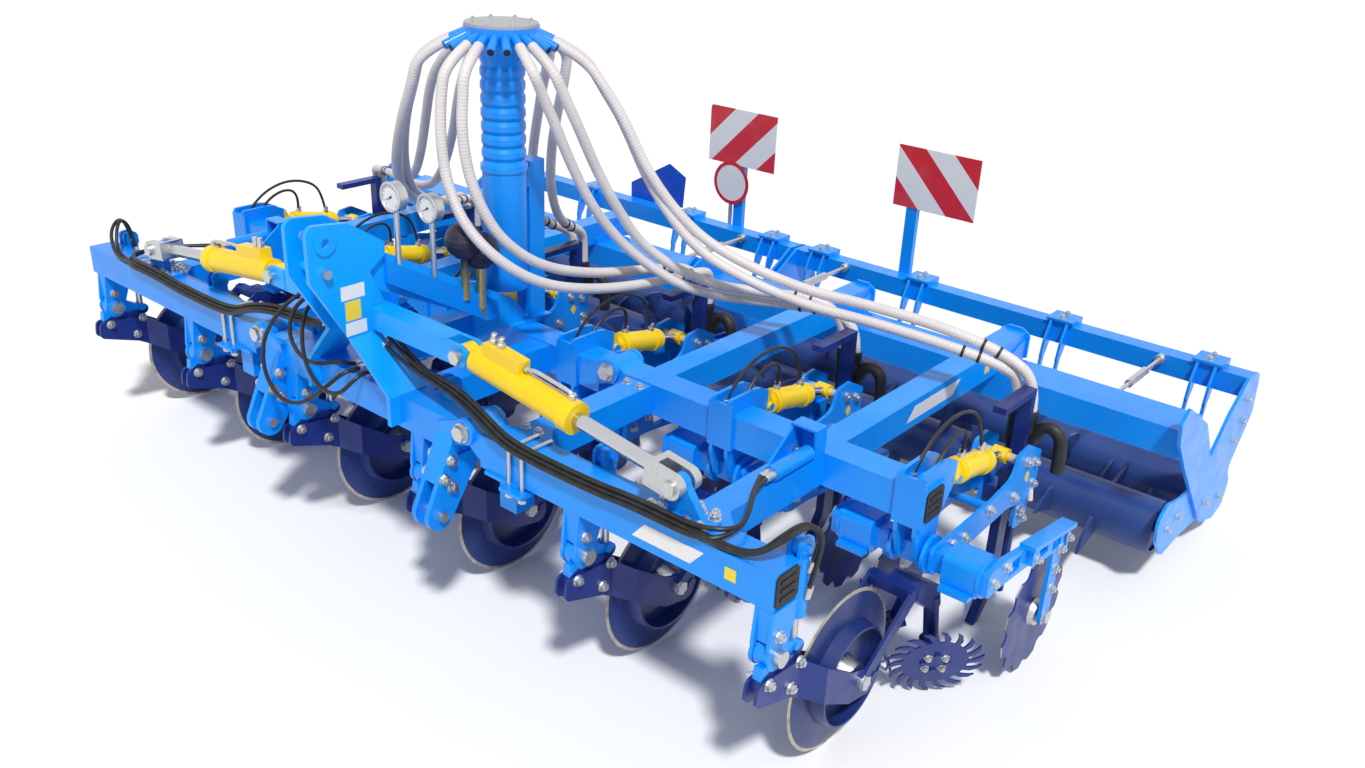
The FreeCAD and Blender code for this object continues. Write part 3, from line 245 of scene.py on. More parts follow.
def stripes():
    """Warning board: red and white stripes that slope down and outwards, the same width on both sides."""
    m, t, b = node_material("striped_board", (0.8, 0.8, 0.8), 0.32, 0.0, 0.5, 0.3)
    split = add(t, "ShaderNodeSeparateXYZ", {0: object_place(t)})
    slope = maths(t, "ADD", split.outputs["Z"], maths(t, "ABSOLUTE", split.outputs["X"]))
    wave = maths(t, "PINGPONG", maths(t, "SUBTRACT", slope, STRIPE_START), STRIPE_WIDTH)
    edge = maths(t, "GREATER_THAN", wave, STRIPE_EDGE)
    grime = ramp(t, noise(t, 12.0, 5.0), 0.5, 0.8, 0.0, 0.12)
    flat = mix(t, edge, (0.80, 0.80, 0.79), RED)
    t.links.new(mix(t, grime, flat, GRIME), b.inputs["Base Color"])
    return m


STRIPES = stripes()


# ---- which finish each face of a CAD node takes ----
def finish(node, materials, choose=None):
    """Gives a node its materials; choose(x, y, z) returns an index for each face centre on the machine."""
    ob = NODES[node]
    ob.data.materials.clear()
    for m in materials:
        ob.data.materials.append(m)
    count = len(ob.data.polygons)
    if choose is None:
        ob.data.polygons.foreach_set("material_index", np.zeros(count, np.int32))
        return
    centre = np.zeros(count * 3, np.float32)
    ob.data.polygons.foreach_get("center", centre)
    c = centre.reshape(-1, 3).astype(float)
    c[:, 1] -= AXLE_LINE
    ob.data.polygons.foreach_set("material_index", choose(c[:, 0], c[:, 1], c[:, 2]).astype(np.int32))


def row_offset(x):
    """How far x lies from the middle of its row."""
    return (x + 10 * ROW + ROW) % ROW - ROW / 2


def away(u, v, *places):
    """Distance of (u, v) from the nearest of the places."""
    return np.minimum.reduce([np.hypot(u - a, v - b) for a, b in places])


# These pick from a node's materials in FINISHES: by number, or yes and no between two.
def disc_arm_finish(x, y, z):
    dx = row_offset(x)
    dark = (z < 0.53) | (y > -0.16)
    pivot = (away(y, z, HANGER_PIVOT) < 0.0275) & ((dx > -0.011) | (dx < -0.081))
    axle = (away(y, z, DISC_AXLE) < 0.028) & (np.abs(dx + 0.03) > 0.0745)
    rod = (away(dx, y, ADJUSTING_ROD) < 0.0155) & (z < 0.645)
    return np.where(pivot | axle | rod, 2, np.where(dark, 1, 0))


def row_unit_finish(x, y, z):
    dx = np.abs(row_offset(x))
    shank = (dx < 0.0262) & (y > 0.84) & ((z < 0.66) | (y > 1.0)) & ~((z > 0.68) & (y < 1.0))
    post = (dx < 0.0262) & (y > 0.829) & (z > 0.86)
    dy, dz = y - JACK_FRONT[0], z - JACK_FRONT[1]
    along = (dy * JACK_WAY[0] + dz * JACK_WAY[1]) / JACK_LENGTH
    above = np.abs(dz * JACK_WAY[0] - dy * JACK_WAY[1])
    jack = (dx < 0.049) & (above < 0.049) & (along > -0.08) & (along < 1.08)
    rod = jack & (along > 0.70) & (along < 0.96) & (dx < 0.0175) & (above < 0.0175)
    nuts = (away(y, z, SIDE_DISC_AXLE) < 0.028) & (dx > 0.299)
    return np.where(nuts, 4, np.where(rod, 3, np.where(jack, 2, np.where(shank | post, 1, 0))))


def rod_finish(x, y, z):
    return away(np.abs(x), z, EAR_PIN) < 0.104


def headstock_finish(x, y, z):
    pin = (away(y, z, MAST_PIN) < 0.0165) & (np.abs(x) > 0.0702)
    base = away(np.abs(x), z, CYLINDER_BASE)
    head = (base < 0.030) & (y < -0.4245)
    return pin | head | (base < 0.0177)


def front_beam_finish(x, y, z):
    link_pin = (away(y, z, LINK_PIN) < 0.0188) & (np.abs(x) < 0.62)
    hinge = (away(np.abs(x), z, (HINGE_X, HINGE_Z)) < HINGE_PIN_R) & (y < -0.4555)
    return link_pin | hinge


def mid_beam_finish(x, y, z):
    return (away(np.abs(x), z, (HINGE_X, HINGE_Z)) < HINGE_PIN_R) & (y < 0.2405)


def gauge_finish(x, y, z):
    stem = away(x, y, *[(GAUGE_X, gauge[0]) for gauge in GAUGES]) < 0.0115
    clock = (z > 1.36) & (y < -0.09)
    store = away(x, y, *ACCUMULATORS)
    ball = (store < 0.074) & (z > 1.142)
    return np.where(stem | clock, 2, np.where(ball, 1, np.where(store < 0.0168, 3, 0)))


def head_finish(x, y, z):
    return (z > 1.9795) & (away(x, y, (0, HEAD_Y)) < 0.1365)


def board_finish(x, y, z):
    return (z > 1.044) & (y > 2.38) & (y < 2.3935)


def disc_finish(x, y, z):
    out = away(y, z, DISC_AXLE)
    return np.where(out < 0.060, 2, np.where(out > 0.262, 1, 0))


def side_disc_finish(x, y, z):
    out = away(y, z, SIDE_DISC_AXLE)
    return np.where(out < 0.055, 2, np.where(out > 0.222, 1, 0))


# By the way a node's name begins; every other node is light blue all over.
FINISHES = {
    "disc_arms": ([LIGHT_BLUE, DARK_BLUE, ZINC], disc_arm_finish),
    "row_units": ([LIGHT_BLUE, DARK_BLUE, YELLOW, CHROME, ZINC], row_unit_finish),
    "fold_rod": ([CHROME, ZINC], rod_finish),
    "fold_barrel": ([YELLOW], None),
    "cutting_disc": ([DISC_BLUE, WORN_STEEL, ZINC], disc_finish),
    "side_disc": ([DARK_BLUE, WORN_STEEL, ZINC], side_disc_finish),
    "star": ([DARK_BLUE], None),
    "roller_front": ([ROLLER_BLUE], None),
    "roller_rear": ([ROLLER_BLUE], None),
    "headstock": ([AZURE, ZINC], headstock_finish),
    "centre_front_beam": ([LIGHT_BLUE, ZINC], front_beam_finish),
    "centre_mid_beam": ([LIGHT_BLUE, ZINC], mid_beam_finish),
    "distributor": ([LIGHT_BLUE, GREY_LID], head_finish),
    "gauge_block": ([LIGHT_BLUE, ACCUMULATOR, ZINC, BRASS], gauge_finish),
    "rear_bar": ([LIGHT_BLUE, STRIPES], board_finish),
}
for node_name in NODES:
    begins = next((b for b in FINISHES if node_name.startswith(b)), None)
    finish(node_name, *FINISHES.get(begins, ([LIGHT_BLUE], None)))


# ---- shapes that the fitted pieces are made of ----
def turned(profile, centre, way, sides=20):
    """Closed turned shape: (radius, height) steps from the base along way; a radius of 0 is a pole."""
    turn = Vector(way).to_track_quat("Z", "Y")
    verts, rings = [], []
    for radius, height in profile:
        count = 1 if radius == 0 else sides
        rings.append(range(len(verts), len(verts) + count))
        for i in range(count):
            a = 2 * math.pi * i / sides
            verts.append(at(*centre) + turn @ Vector((radius * math.cos(a), radius * math.sin(a), height)))
    faces = []
    for low, high in zip(rings, rings[1:]):
        for i in range(sides):
            j = (i + 1) % sides
            if len(low) == 1:
                faces.append((low[0], high[j], high[i]))
            elif len(high) == 1:
                faces.append((low[i], low[j], high[0]))
            else:
                faces.append((low[i], low[j], high[j], high[i]))
    return verts, faces


def disc(radius, height, centre, way, sides=20):
    """Round or many-sided plate with a broken edge, standing on centre."""
    edge = min(0.0015, height / 3)
    return turned([(0, 0), (radius, 0), (radius, height - edge), (radius - edge, height), (0, height)],
                  centre, way, sides)


def slab(outline, origin, across, up, thick):
    """Flat plate: its outline along across and up from origin, its thickness towards across x up."""
    a, u = Vector(across).normalized(), Vector(up).normalized()
    n = a.cross(u) * thick
    low = [at(*origin) + a * p + u * q for p, q in outline]
    count = len(low)
    faces = [tuple(reversed(range(count))), tuple(range(count, 2 * count))]
    faces += [(i, (i + 1) % count, (i + 1) % count + count, i + count) for i in range(count)]
    return low + [v + n for v in low], faces


def rect(p0, p1, q0, q1):
    return [(p0, q0), (p1, q0), (p1, q1), (p0, q1)]


def block(x0, x1, y0, y1, z0, z1):
    return slab(rect(0, x1 - x0, 0, y1 - y0), (x0, y0, z0), (1, 0, 0), (0, 1, 0), z1 - z0)


def tube(path, radius, sides=10):
    """Round tube on a path of frame places, its rings kept from twisting, its ends closed."""
    verts, faces = [], []
    way = (path[1] - path[0]).normalized()
    side = way.orthogonal().normalized()
    for i, p in enumerate(path):
        onward = path[min(i + 1, len(path) - 1)] - path[max(i - 1, 0)]
        onward = onward.normalized()
        side = (way.rotation_difference(onward) @ side).normalized()
        way = onward
        other = way.cross(side)
        for k in range(sides):
            a = 2 * math.pi * k / sides
            verts.append(p + (side * math.cos(a) + other * math.sin(a)) * radius)
        if i:
            for k in range(sides):
                m = (k + 1) % sides
                faces.append(((i - 1) * sides + k, (i - 1) * sides + m, i * sides + m, i * sides + k))
    last = (len(path) - 1) * sides
    faces += [tuple(reversed(range(sides))), tuple(range(last, last + sides))]
    return verts, faces


def stand(name, data):
    """A new object, in the scene."""
    ob = bpy.data.objects.new(name, data)
    bpy.context.scene.collection.objects.link(ob)
    return ob


def smooth_line(points):
    """Places along the smooth line that has points as its control points."""
    curve = bpy.data.curves.new("line", "CURVE")
    curve.dimensions = "3D"
    curve.resolution_u = 6
    spline = curve.splines.new("NURBS")
    spline.points.add(len(points) - 1)
    for place, p in zip(spline.points, points):
        place.co = (*at(*p), 1)
    spline.order_u = 3
    spline.use_endpoint_u = True
    ob = stand("line", curve)
    mesh = bpy.data.meshes.new_from_object(ob.evaluated_get(bpy.context.evaluated_depsgraph_get()))
    line = [v.co.copy() for v in mesh.vertices]
    bpy.data.objects.remove(ob)
    bpy.data.curves.remove(curve)
    bpy.data.meshes.remove(mesh)
    return line


def pipe(points, radius, sides=10):
    """Round bar or pipe along the smooth line of its control points."""
    return tube(smooth_line(points), radius, sides)


def bent_rod(points, radius, bend):
    """Straight runs between points with round corners of the given bend radius."""
    line = [at(*points[0])]
    for a, b, c in zip(points, points[1:], points[2:]):
        a, b, c = at(*a), at(*b), at(*c)
        start = b + (a - b).normalized() * bend
        end = b + (c - b).normalized() * bend
        line += [start.lerp(b, t).lerp(b.lerp(end, t), t) for t in (0, 0.25, 0.5, 0.75, 1)]
    return tube(line + [at(*points[-1])], radius, 8)


def piece(name, body, shapes, materials, smooth=True):
    """One mesh of several closed shapes, each (verts, faces) or (verts, faces, material index)."""
    mesh = bpy.data.meshes.new(name)
    verts, faces, finishes = [], [], []
    for shape in shapes:
        base = len(verts)
        verts += shape[0]
        faces += [tuple(base + i for i in f) for f in shape[1]]
        finishes += [shape[2] if len(shape) > 2 else 0] * len(shape[1])
    mesh.from_pydata([tuple(v) for v in verts], [], faces)
    for m in materials:
        mesh.materials.append(m)
    mesh.polygons.foreach_set("material_index", finishes)
    bm = bmesh.new()
    bm.from_mesh(mesh)
    bmesh.ops.recalc_face_normals(bm, faces=bm.faces)
    bm.to_mesh(mesh)
    bm.free()
    if smooth:
        mesh.polygons.foreach_set("use_smooth", [True] * len(mesh.polygons))
        mesh.set_sharp_from_angle(angle=math.radians(35))
    ob = stand(name, mesh)
    if body:
        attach(ob, body)
    return ob


BY_BODY = ("centre_frame", "wing_left", "wing_right")


def pieces_by_body(name, materials, placed, smooth=True):
    """placed holds (body, shape); makes one piece for each body that has any."""
    for body in BY_BODY:
        shapes = [s for b, s in placed if b == body]
        if shapes:
            piece(f"{name}_{body}", body, shapes, materials, smooth)


# ---- bolts ----
def bolt_tree():
    """Hexagon head, washer and thread end at every place, along its way, in multiples of the thread size."""
    tree = bpy.data.node_groups.new("bolts", "GeometryNodeTree")
    sockets = [("Places", "NodeSocketGeometry", None), ("Head radius", "NodeSocketFloat", 0.90),
               ("Head height", "NodeSocketFloat", 0.68), ("Washer radius", "NodeSocketFloat", 1.12),
               ("Washer height", "NodeSocketFloat", 0.17), ("Thread height", "NodeSocketFloat", 0.42),
               ("Finish", "NodeSocketMaterial", None)]
    for label, kind, value in sockets:
        s = tree.interface.new_socket(label, in_out="INPUT", socket_type=kind)
        if value is not None:
            s.default_value = value
    tree.interface.new_socket("Geometry", in_out="OUTPUT", socket_type="NodeSocketGeometry")
    given, result, join = (tree.nodes.new(kind) for kind in (
        "NodeGroupInput", "NodeGroupOutput", "GeometryNodeJoinGeometry"))

    def drum(vertices, radius, height, base):
        values = {"Vertices": vertices, "Radius": radius, "Depth": height}
        body = add(tree, "GeometryNodeMeshCylinder", values, fill_type="NGON")
        place = add(tree, "ShaderNodeCombineXYZ", {"Z": maths(tree, "MULTIPLY_ADD", height, 0.5, base)})
        move = add(tree, "GeometryNodeTransform", {"Geometry": body.outputs["Mesh"],
                                                   "Translation": place.outputs[0]})
        tree.links.new(move.outputs[0], join.inputs[0])

    def stored(label, kind):
        n = add(tree, "GeometryNodeInputNamedAttribute", {"Name": label}, data_type=kind)
        return n.outputs["Attribute"]

    washer, head, thread = (given.outputs[k] for k in ("Washer height", "Head height", "Thread height"))
    ground = maths(tree, "MULTIPLY", washer, -0.5)
    washer_top = maths(tree, "ADD", ground, washer)
    drum(16, given.outputs["Washer radius"], washer, ground)
    drum(6, given.outputs["Head radius"], head, washer_top)
    drum(10, 0.5, thread, maths(tree, "ADD", washer_top, head))
    turn = add(tree, "FunctionNodeAlignRotationToVector", {"Vector": stored("way", "FLOAT_VECTOR")}, axis="Z")
    each = add(tree, "GeometryNodeInstanceOnPoints", {
        "Points": given.outputs["Places"], "Instance": join.outputs[0], "Rotation": turn.outputs[0],
        "Scale": stored("size", "FLOAT")})
    whole = add(tree, "GeometryNodeRealizeInstances", {0: each.outputs[0]})
    coat = add(tree, "GeometryNodeSetMaterial", {"Geometry": whole.outputs[0],
                                                 "Material": given.outputs["Finish"]})
    tree.links.new(coat.outputs[0], result.inputs[0])
    return tree


def grown(name, body, tree, bolts):
    """A plain mesh of the tree's shape at every bolt; bolts holds (place, way, size)."""
    places, ways, sizes = zip(*bolts)
    mesh = bpy.data.meshes.new(name)
    mesh.from_pydata([tuple(p) for p in places], [], [])
    flat_ways = [c for w in ways for c in w]
    mesh.attributes.new("way", "FLOAT_VECTOR", "POINT").data.foreach_set("vector", flat_ways)
    mesh.attributes.new("size", "FLOAT", "POINT").data.foreach_set("value", sizes)
    ob = stand(name, mesh)
    nodes = ob.modifiers.new("shape", "NODES")
    nodes.node_group = tree
    for s in tree.interface.items_tree:
        if s.in_out == "INPUT" and s.name == "Finish":
            nodes[s.identifier] = ZINC
    depsgraph = bpy.context.evaluated_depsgraph_get()
    plain = bpy.data.meshes.new_from_object(ob.evaluated_get(depsgraph), depsgraph=depsgraph)
    ob.modifiers.remove(nodes)
    ob.data = plain
    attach(ob, body)
    return ob


TREES = {}
# How far off its face a bolt may be placed, and the least cosine between its way and the face's normal.
REACH, SQUARE_ON = 0.06, 0.9


def face_of(node, place, way):
    """The point of the node's surface under place, looking back along way from outside it, and its normal."""
    if node not in TREES:
        mesh = NODES[node].data
        TREES[node] = BVHTree.FromPolygons([v.co for v in mesh.vertices],
                                           [p.vertices for p in mesh.polygons])
    w = Vector(way).normalized()
    return TREES[node].ray_cast(at(*place) + w * REACH, -w, 2 * REACH)[:2]


BOLTS = []


def bolt(node, place, way, size=0.016):
    """A bolt head on the node's face under place; none where no face lies square to way."""
    found, normal = face_of(node, place, way)
    if found is None or abs(normal.dot(Vector(way).normalized())) < SQUARE_ON:
        return
    BOLTS.append((side_name(place[0]), found, Vector(way).normalized(), size))


# ---- seed hoses ----
# Name, outlet, row, length and the control points between the outlet and the row's post.
SEED_HOSES = [
    ("seed_hose_6_outer", 2, 5, 2.44, [(.31, .50, 1.81), (.37, .55, 1.69), (.44, .62, 1.48),
     (.57, .72, 1.28), (.74, .80, 1.18), (1.0, .88, 1.11), (1.27, .95, 1.10), (1.56, 1.0, 1.08),
     (1.80, 1.06, 1.02)]),
    ("seed_hose_6_inner", 3, 5, 2.41, [(.25, .55, 1.80), (.32, .60, 1.67), (.43, .64, 1.43),
     (.59, .71, 1.22), (.76, .78, 1.13), (1.01, .86, 1.06), (1.28, .92, 1.05), (1.57, .97, 1.03),
     (1.76, 1.04, .99)]),
    ("seed_hose_5_outer", 22, 4, 2.09, [(.27, .22, 1.82), (.27, .28, 1.71), (.28, .36, 1.54),
     (.29, .45, 1.38), (.32, .56, 1.23), (.38, .66, 1.12), (.49, .78, 1.01), (.63, .90, .97),
     (.80, 1.00, .97), (1.02, 1.07, .98)]),
    ("seed_hose_5_inner", 23, 4, 1.98, [(.31, .29, 1.81), (.32, .36, 1.68), (.33, .44, 1.52),
     (.35, .54, 1.35), (.38, .65, 1.19), (.47, .77, 1.08), (.61, .87, 1.02), (.79, .96, 1.02),
     (1.00, 1.03, 1.03)]),
    ("seed_hose_4_outer", 18, 3, 2.14, [(.03, -.03, 1.80), (.03, -.04, 1.67), (.05, -.04, 1.50),
     (.13, -.03, 1.35), (.24, .03, 1.23), (.30, .18, 1.12), (.33, .40, 1.05), (.36, .66, 1.01),
     (.39, .90, 1.00), (.40, 1.06, .99)]),
    ("seed_hose_4_inner", 19, 3, 1.98, [(.11, .00, 1.80), (.11, -.01, 1.70), (.12, .00, 1.55),
     (.16, .03, 1.40), (.20, .10, 1.27), (.23, .26, 1.15), (.25, .50, 1.07), (.28, .76, 1.03),
     (.31, 1.00, 1.00)]),
    ("seed_hose_3_outer", 5, 2, 1.47, [(.03, .58, 1.80), (-.04, .61, 1.66), (-.13, .66, 1.48),
     (-.22, .74, 1.28), (-.28, .84, 1.12), (-.32, .95, 1.04), (-.35, 1.06, .99)]),
    ("seed_hose_3_inner", 6, 2, 1.49, [(-.08, .58, 1.80), (-.15, .61, 1.64), (-.24, .66, 1.45),
     (-.34, .74, 1.24), (-.40, .84, 1.09), (-.43, .95, 1.02), (-.44, 1.05, .98)]),
    ("seed_hose_2_outer", 15, 1, 2.09, [(-.22, .04, 1.79), (-.31, .06, 1.66), (-.46, .13, 1.47),
     (-.62, .26, 1.30), (-.76, .44, 1.17), (-.89, .65, 1.08), (-1.00, .86, 1.02), (-1.09, 1.05, .99)]),
    ("seed_hose_2_inner", 14, 1, 2.06, [(-.28, .10, 1.79), (-.38, .13, 1.65), (-.53, .22, 1.44),
     (-.68, .36, 1.26), (-.83, .54, 1.14), (-.98, .74, 1.05), (-1.11, .93, 1.00), (-1.19, 1.06, .98)]),
    ("seed_hose_1_outer", 11, 0, 2.35, [(-.38, .31, 1.83), (-.50, .35, 1.72), (-.63, .42, 1.53),
     (-.80, .52, 1.34), (-1.03, .66, 1.18), (-1.29, .80, 1.08), (-1.54, .93, 1.03), (-1.73, 1.02, 1.00),
     (-1.84, 1.07, .98)]),
    ("seed_hose_1_inner", 10, 0, 2.41, [(-.35, .42, 1.82), (-.47, .47, 1.68), (-.61, .55, 1.47),
     (-.79, .64, 1.27), (-1.02, .76, 1.12), (-1.28, .88, 1.04), (-1.55, .99, 1.00), (-1.80, 1.06, .98),
     (-1.91, 1.08, .97)]),
]
CORDS = []


def outlet(i, back):
    """The point that lies back from an outlet's tip on its line, and the way it faces."""
    a = 2 * math.pi * (i + 0.5) / OUTLETS
    way = Vector((math.cos(a), math.sin(a), OUTLET_FALL)).normalized()
    tip = Vector((OUTLET_TIP_R * math.cos(a), HEAD_Y + OUTLET_TIP_R * math.sin(a), OUTLET_TIP_Z))
    return tip - way * back, way


def hose(name, body, points, diameter, material, sides=12):
    """A hose along its control points, mapped in metres; without a body it is left unattached, in frame
    places.
    """
    line = smooth_line(points)
    ob = piece(name, body, [tube(line, diameter / 2, sides)], [material])
    gone = [0.0]
    for a, b in zip(line, line[1:]):
        gone.append(gone[-1] + (b - a).length)
    mapped = ob.data.uv_layers.new(name="along")
    for loop in ob.data.loops:
        ring, k = divmod(loop.vertex_index, sides)
        mapped.data[loop.index].uv = (k / sides, gone[ring])
    CORDS.append((ob, line, diameter))
    if body is None:
        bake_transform(ob)


def seed_hoses():
    """Two hoses from the distributor to each row."""
    for name, i, row, length, route in SEED_HOSES:
        start, way = outlet(i, IN_OUTLET)
        x = ROWS[row] + (OUTER_DX if name.endswith("outer") else INNER_DX)
        points = [start, start + way * OUTLET_LEAD, *route, (x, POST_Y, 0.93), (x, POST_Y, 0.80)]
        body = "centre_frame" if abs(ROWS[row]) < HINGE_X else None
        hose(name, body, points, SEED_HOSE_D, WHITE_HOSE)


seed_hoses()

CUFF = [(0, 0), (.025, 0), (.0275, .006), (.0275, .03), (.0255, .036), (.0255, .10), (.0275, .106),
        (.0275, .134), (.025, .14), (0, .14)]
BYPASS = [(.02, 1.10, .70), (.045, 1.105, .765), (.085, 1.11, .785), (.125, 1.112, .76), (.135, 1.112, .70),
          (.135, 1.112, .62)]
LOWER_BEND = [(-.048, 1.10, .71), (-.046, 1.10, .66), (-.012, 1.10, .62), (0, 1.10, .575)]
DRAIN = [(.03, 1.01, .66), (.055, 1.01, .655), (.085, 1.01, .61), (.095, 1.01, .53)]
RIB_COUNT, RIB_PITCH = 12, 0.016


def beside(x, route):
    """A route that is given from the middle of its row."""
    return [(x + dx, y, z) for dx, y, z in route]


def tube_ends():
    """Rubber cuffs, bypass bend, corrugated sleeve and drain pipe behind each row's tine."""
    ribs = [(0, 0), (.0262, 0)]
    for k in range(RIB_COUNT):
        z = 0.006 + k * RIB_PITCH
        ribs += [(.0262, z), (.0290, z + .004), (.0290, z + .009), (.0262, z + .013)]
    ribs += [(.0262, .20), (0, .20)]
    rubber_parts, tan_parts, white_parts = [], [], []
    for x in ROWS:
        body = side_name(x)
        for dx in (OUTER_DX, INNER_DX):
            rubber_parts.append((body, turned(CUFF, (x + dx, POST_Y, 0.69), (0, 0, 1))))
        for route in (BYPASS, LOWER_BEND):
            rubber_parts.append((body, pipe(beside(x, route), 0.0245, 14)))
        tan_parts.append((body, turned(ribs, (x, 1.098, .375), (0, 0, 1))))
        white_parts.append((body, pipe(beside(x, DRAIN), 0.0105)))
    pieces_by_body("hose_bends", [BLACK_RUBBER], rubber_parts)
    pieces_by_body("corrugated_sleeves", [TAN_SLEEVE], tan_parts)
    pieces_by_body("drain_pipes", [WHITE_PIPE], white_parts)


tube_ends()


def back_along(line, back):
    """The place that lies back from the line's end, and the way the line runs there."""
    for a, b in zip(reversed(line), reversed(line[:-1])):
        step = (a - b).length
        if back < step:
            return a.lerp(b, back / step), (a - b).normalized()
        back -= step


def machine_place(p):
    return (p.x, p.y - AXLE_LINE, p.z)


def hose_bindings():
    """Black ties round the seed hoses near their rows, and thin black discs in the spare outlets' ends as
    painted shade for their open bores.

    It runs while the seed hoses are the only cords.
    """
    ties = []
    for _, line, diameter in CORDS:
        r = diameter / 2 + .003
        for back in (0.30, 0.36):
            p, way = back_along(line, back)
            place = machine_place(p)
            ties.append((side_name(p.x), turned([(0, -.005), (r, -.005), (r, .005), (0, .005)], place, way)))
    pieces_by_body("hose_ties", [BLACK_RUBBER], ties)
    used = {row[1] for row in SEED_HOSES}
    painted_bore_shades = []
    # Painted shade: a thin black disc at each spare outlet's tip stands for the dark inside of its open bore.
    for i in range(OUTLETS):
        if i not in used:
            tip, way = outlet(i, 0.001)
            painted_bore_shades.append(("centre_frame", disc(0.0135, 0.0016, tip, way)))
    pieces_by_body("outlet_painted_bore_shades", [BLACK_RUBBER], painted_bore_shades)


hose_bindings()


# ---- oil hoses ----
MAST_HOSES = [
    ("mast_oil_hose_1", 0.90, [(-.31, -.415, 1.08), (-.32, -.46, 1.07), (-.36, -.52, 1.00),
     (-.40, -.56, .90), (-.38, -.58, .78), (-.29, -.58, .70), (-.18, -.56, .71), (-.08, -.52, .80),
     (-.03, -.48, .86), (-.02, -.43, .865), (-.02, -.40, .862)]),
    ("mast_oil_hose_2", 0.53, [(-.27, -.415, 1.08), (-.28, -.45, 1.07), (-.31, -.49, 1.01),
     (-.30, -.51, .92), (-.22, -.51, .86), (-.13, -.50, .87), (-.07, -.46, .89), (-.06, -.42, .87),
     (-.06, -.39, .862)]),
    ("mast_oil_hose_3", 0.64, [(-.23, -.415, 1.08), (-.23, -.46, 1.07), (-.20, -.52, 1.00),
     (-.17, -.54, .88), (-.09, -.54, .80), (.01, -.53, .80), (.06, -.49, .87), (.05, -.43, .880),
     (.04, -.40, .862)]),
]
OVERLOAD_HOSES = [
    (0.37, [(0, .575, .850), (.012, .572, .905), (.016, .545, .955), (.018, .485, .965),
     (.020, .42, .945), (.022, .365, .905), (.022, .345, .872), (.022, .340, .848)]),
    (0.59, [(0, .732, .818), (-.010, .728, .875), (-.016, .700, .945), (-.020, .62, .985),
     (-.022, .52, .995), (-.026, .42, .965), (-.028, .345, .910), (-.028, .312, .870),
     (-.028, .305, .848)]),
]


def oil_hoses():
    """Four hoses along each front beam's front edge: two on to the end jack, two back to the lock tube."""
    top = BEAM_TOP + OIL_HOSE_D / 2 + 0.002
    for side, sign in SIDES:
        for k, (y, dz) in enumerate(((-.430, 0), (-.447, .001), (-.438, .016), (-.462, -.006))):
            dy, z = y + .405, top + dz
            run = [(.08, -.33 + dy, 1.05 - .02 * k), (.16, -.335 + dy, 1.0 - .01 * k),
                   (.30, -.345 + dy, .945), (.43, -.36 + dy, .945 + dz), (.56, -.385 + dy, .945 + dz),
                   (.68, -.400 + dy, .915 + dz), (.80, y, z + .006), (1.0, y, z), (1.20, y, z + .002),
                   (1.33, y, z + .013), (1.46, y, z + .014)]
            if k < 2:
                run += [(1.60, y, z + .012), (1.70, y + .01, z), (1.78, y + .02, z + .02),
                        (1.83 + .02 * k, y + .05, .945), (1.87 + .015 * k, -.335, .985),
                        (1.892 + .015 * k, -.292, .94), (1.885, -.282, .87 - .05 * k),
                        (1.862, -.282, .80 - .09 * k)]
                length = 2.1
            else:
                port = LOCK_PORT_X + LOCK_PORT_PITCH * (k - 2)
                run += [(1.57, y, z + .014), (1.645, y + .03, z + .018), (1.665, -.34, .885),
                        (1.625, -.25, .895), (1.575, -.17, .892), (port + .018, -.10, .884),
                        (port, -.06, .878), (port, -.012, .876)]
                length = 2.0
            points = [(sign * px, py, pz) for px, py, pz in run]
            hose(f"wing_oil_hose_{side}_{k + 1}", None, points, OIL_HOSE_D, OIL_HOSE, sides=10)
    for name, length, run in MAST_HOSES:
        hose(name, "centre_frame", run, OIL_HOSE_D, OIL_HOSE, sides=10)


oil_hoses()


def overload_hoses():
    """Two hoses from each row's overload cylinder over to the middle beam."""
    for i, x in enumerate(ROWS):
        for k, (length, route) in enumerate(OVERLOAD_HOSES):
            hose(f"overload_hose_{i + 1}_{k + 1}", side_name(x), beside(x, route), OVERLOAD_HOSE_D,
                 OIL_HOSE, sides=8)


overload_hoses()


# ---- fitted hardware ----
def oil_fittings():
    """Ports, ferrules and unions in zinc."""
    zinc = []
    port = [(0, 0), (.014, 0), (.014, .012), (.011, .014), (.011, .030), (0, .030)]
    for x in ROWS:
        body = side_name(x)
        for y, z in ((.575, .832), (.732, .800)):
            zinc.append((body, turned(port, (x, y, z), (0, .206, .978), 12)))
        for dx, y in ((.022, .340), (-.028, .305)):
            zinc.append((body, disc(.0125, .026, (x + dx, y, .848), (0, 0, 1), 6)))
    for dx, y in ((-.02, -.40), (-.06, -.39), (.04, -.40)):
        zinc.append(("centre_frame", disc(.0145, .024, (dx, y, .848), (0, 0, 1), 6)))
    for x in (-.31, -.27, -.23):
        zinc.append(("centre_frame", disc(.0145, .030, (x, -.409, 1.08), (0, -1, 0), 6)))
    for _, sign in SIDES:
        for k in (0, 1):
            x = sign * (LOCK_PORT_X + LOCK_PORT_PITCH * k)
            zinc.append((side_name(sign), disc(.0140, .050, (x, -.012, .876), (0, -1, 0), 12)))
    ferrule = [(0, 0), (.0135, 0), (.0135, .024), (.0125, .040), (0, .040)]
    for ob, line, _ in CORDS:
        if ob.name.startswith("wing_oil_hose"):
            for p, q in ((line[-1], line[-3]), (line[0], line[2])):
                zinc.append((side_name(p.x), turned(ferrule, machine_place(p), q - p, 12)))
    pieces_by_body("oil_fittings", [ZINC], zinc)


oil_fittings()


def along_barrel(sign, along, above):
    """A place by its distance along the folding cylinder and above its centre line."""
    x = CYLINDER_BASE[0] + CYLINDER_WAY[0] * along - CYLINDER_WAY[1] * above
    z = CYLINDER_BASE[1] + CYLINDER_WAY[1] * along + CYLINDER_WAY[0] * above
    return (sign * x, FRONT_Y + 0.010, z)


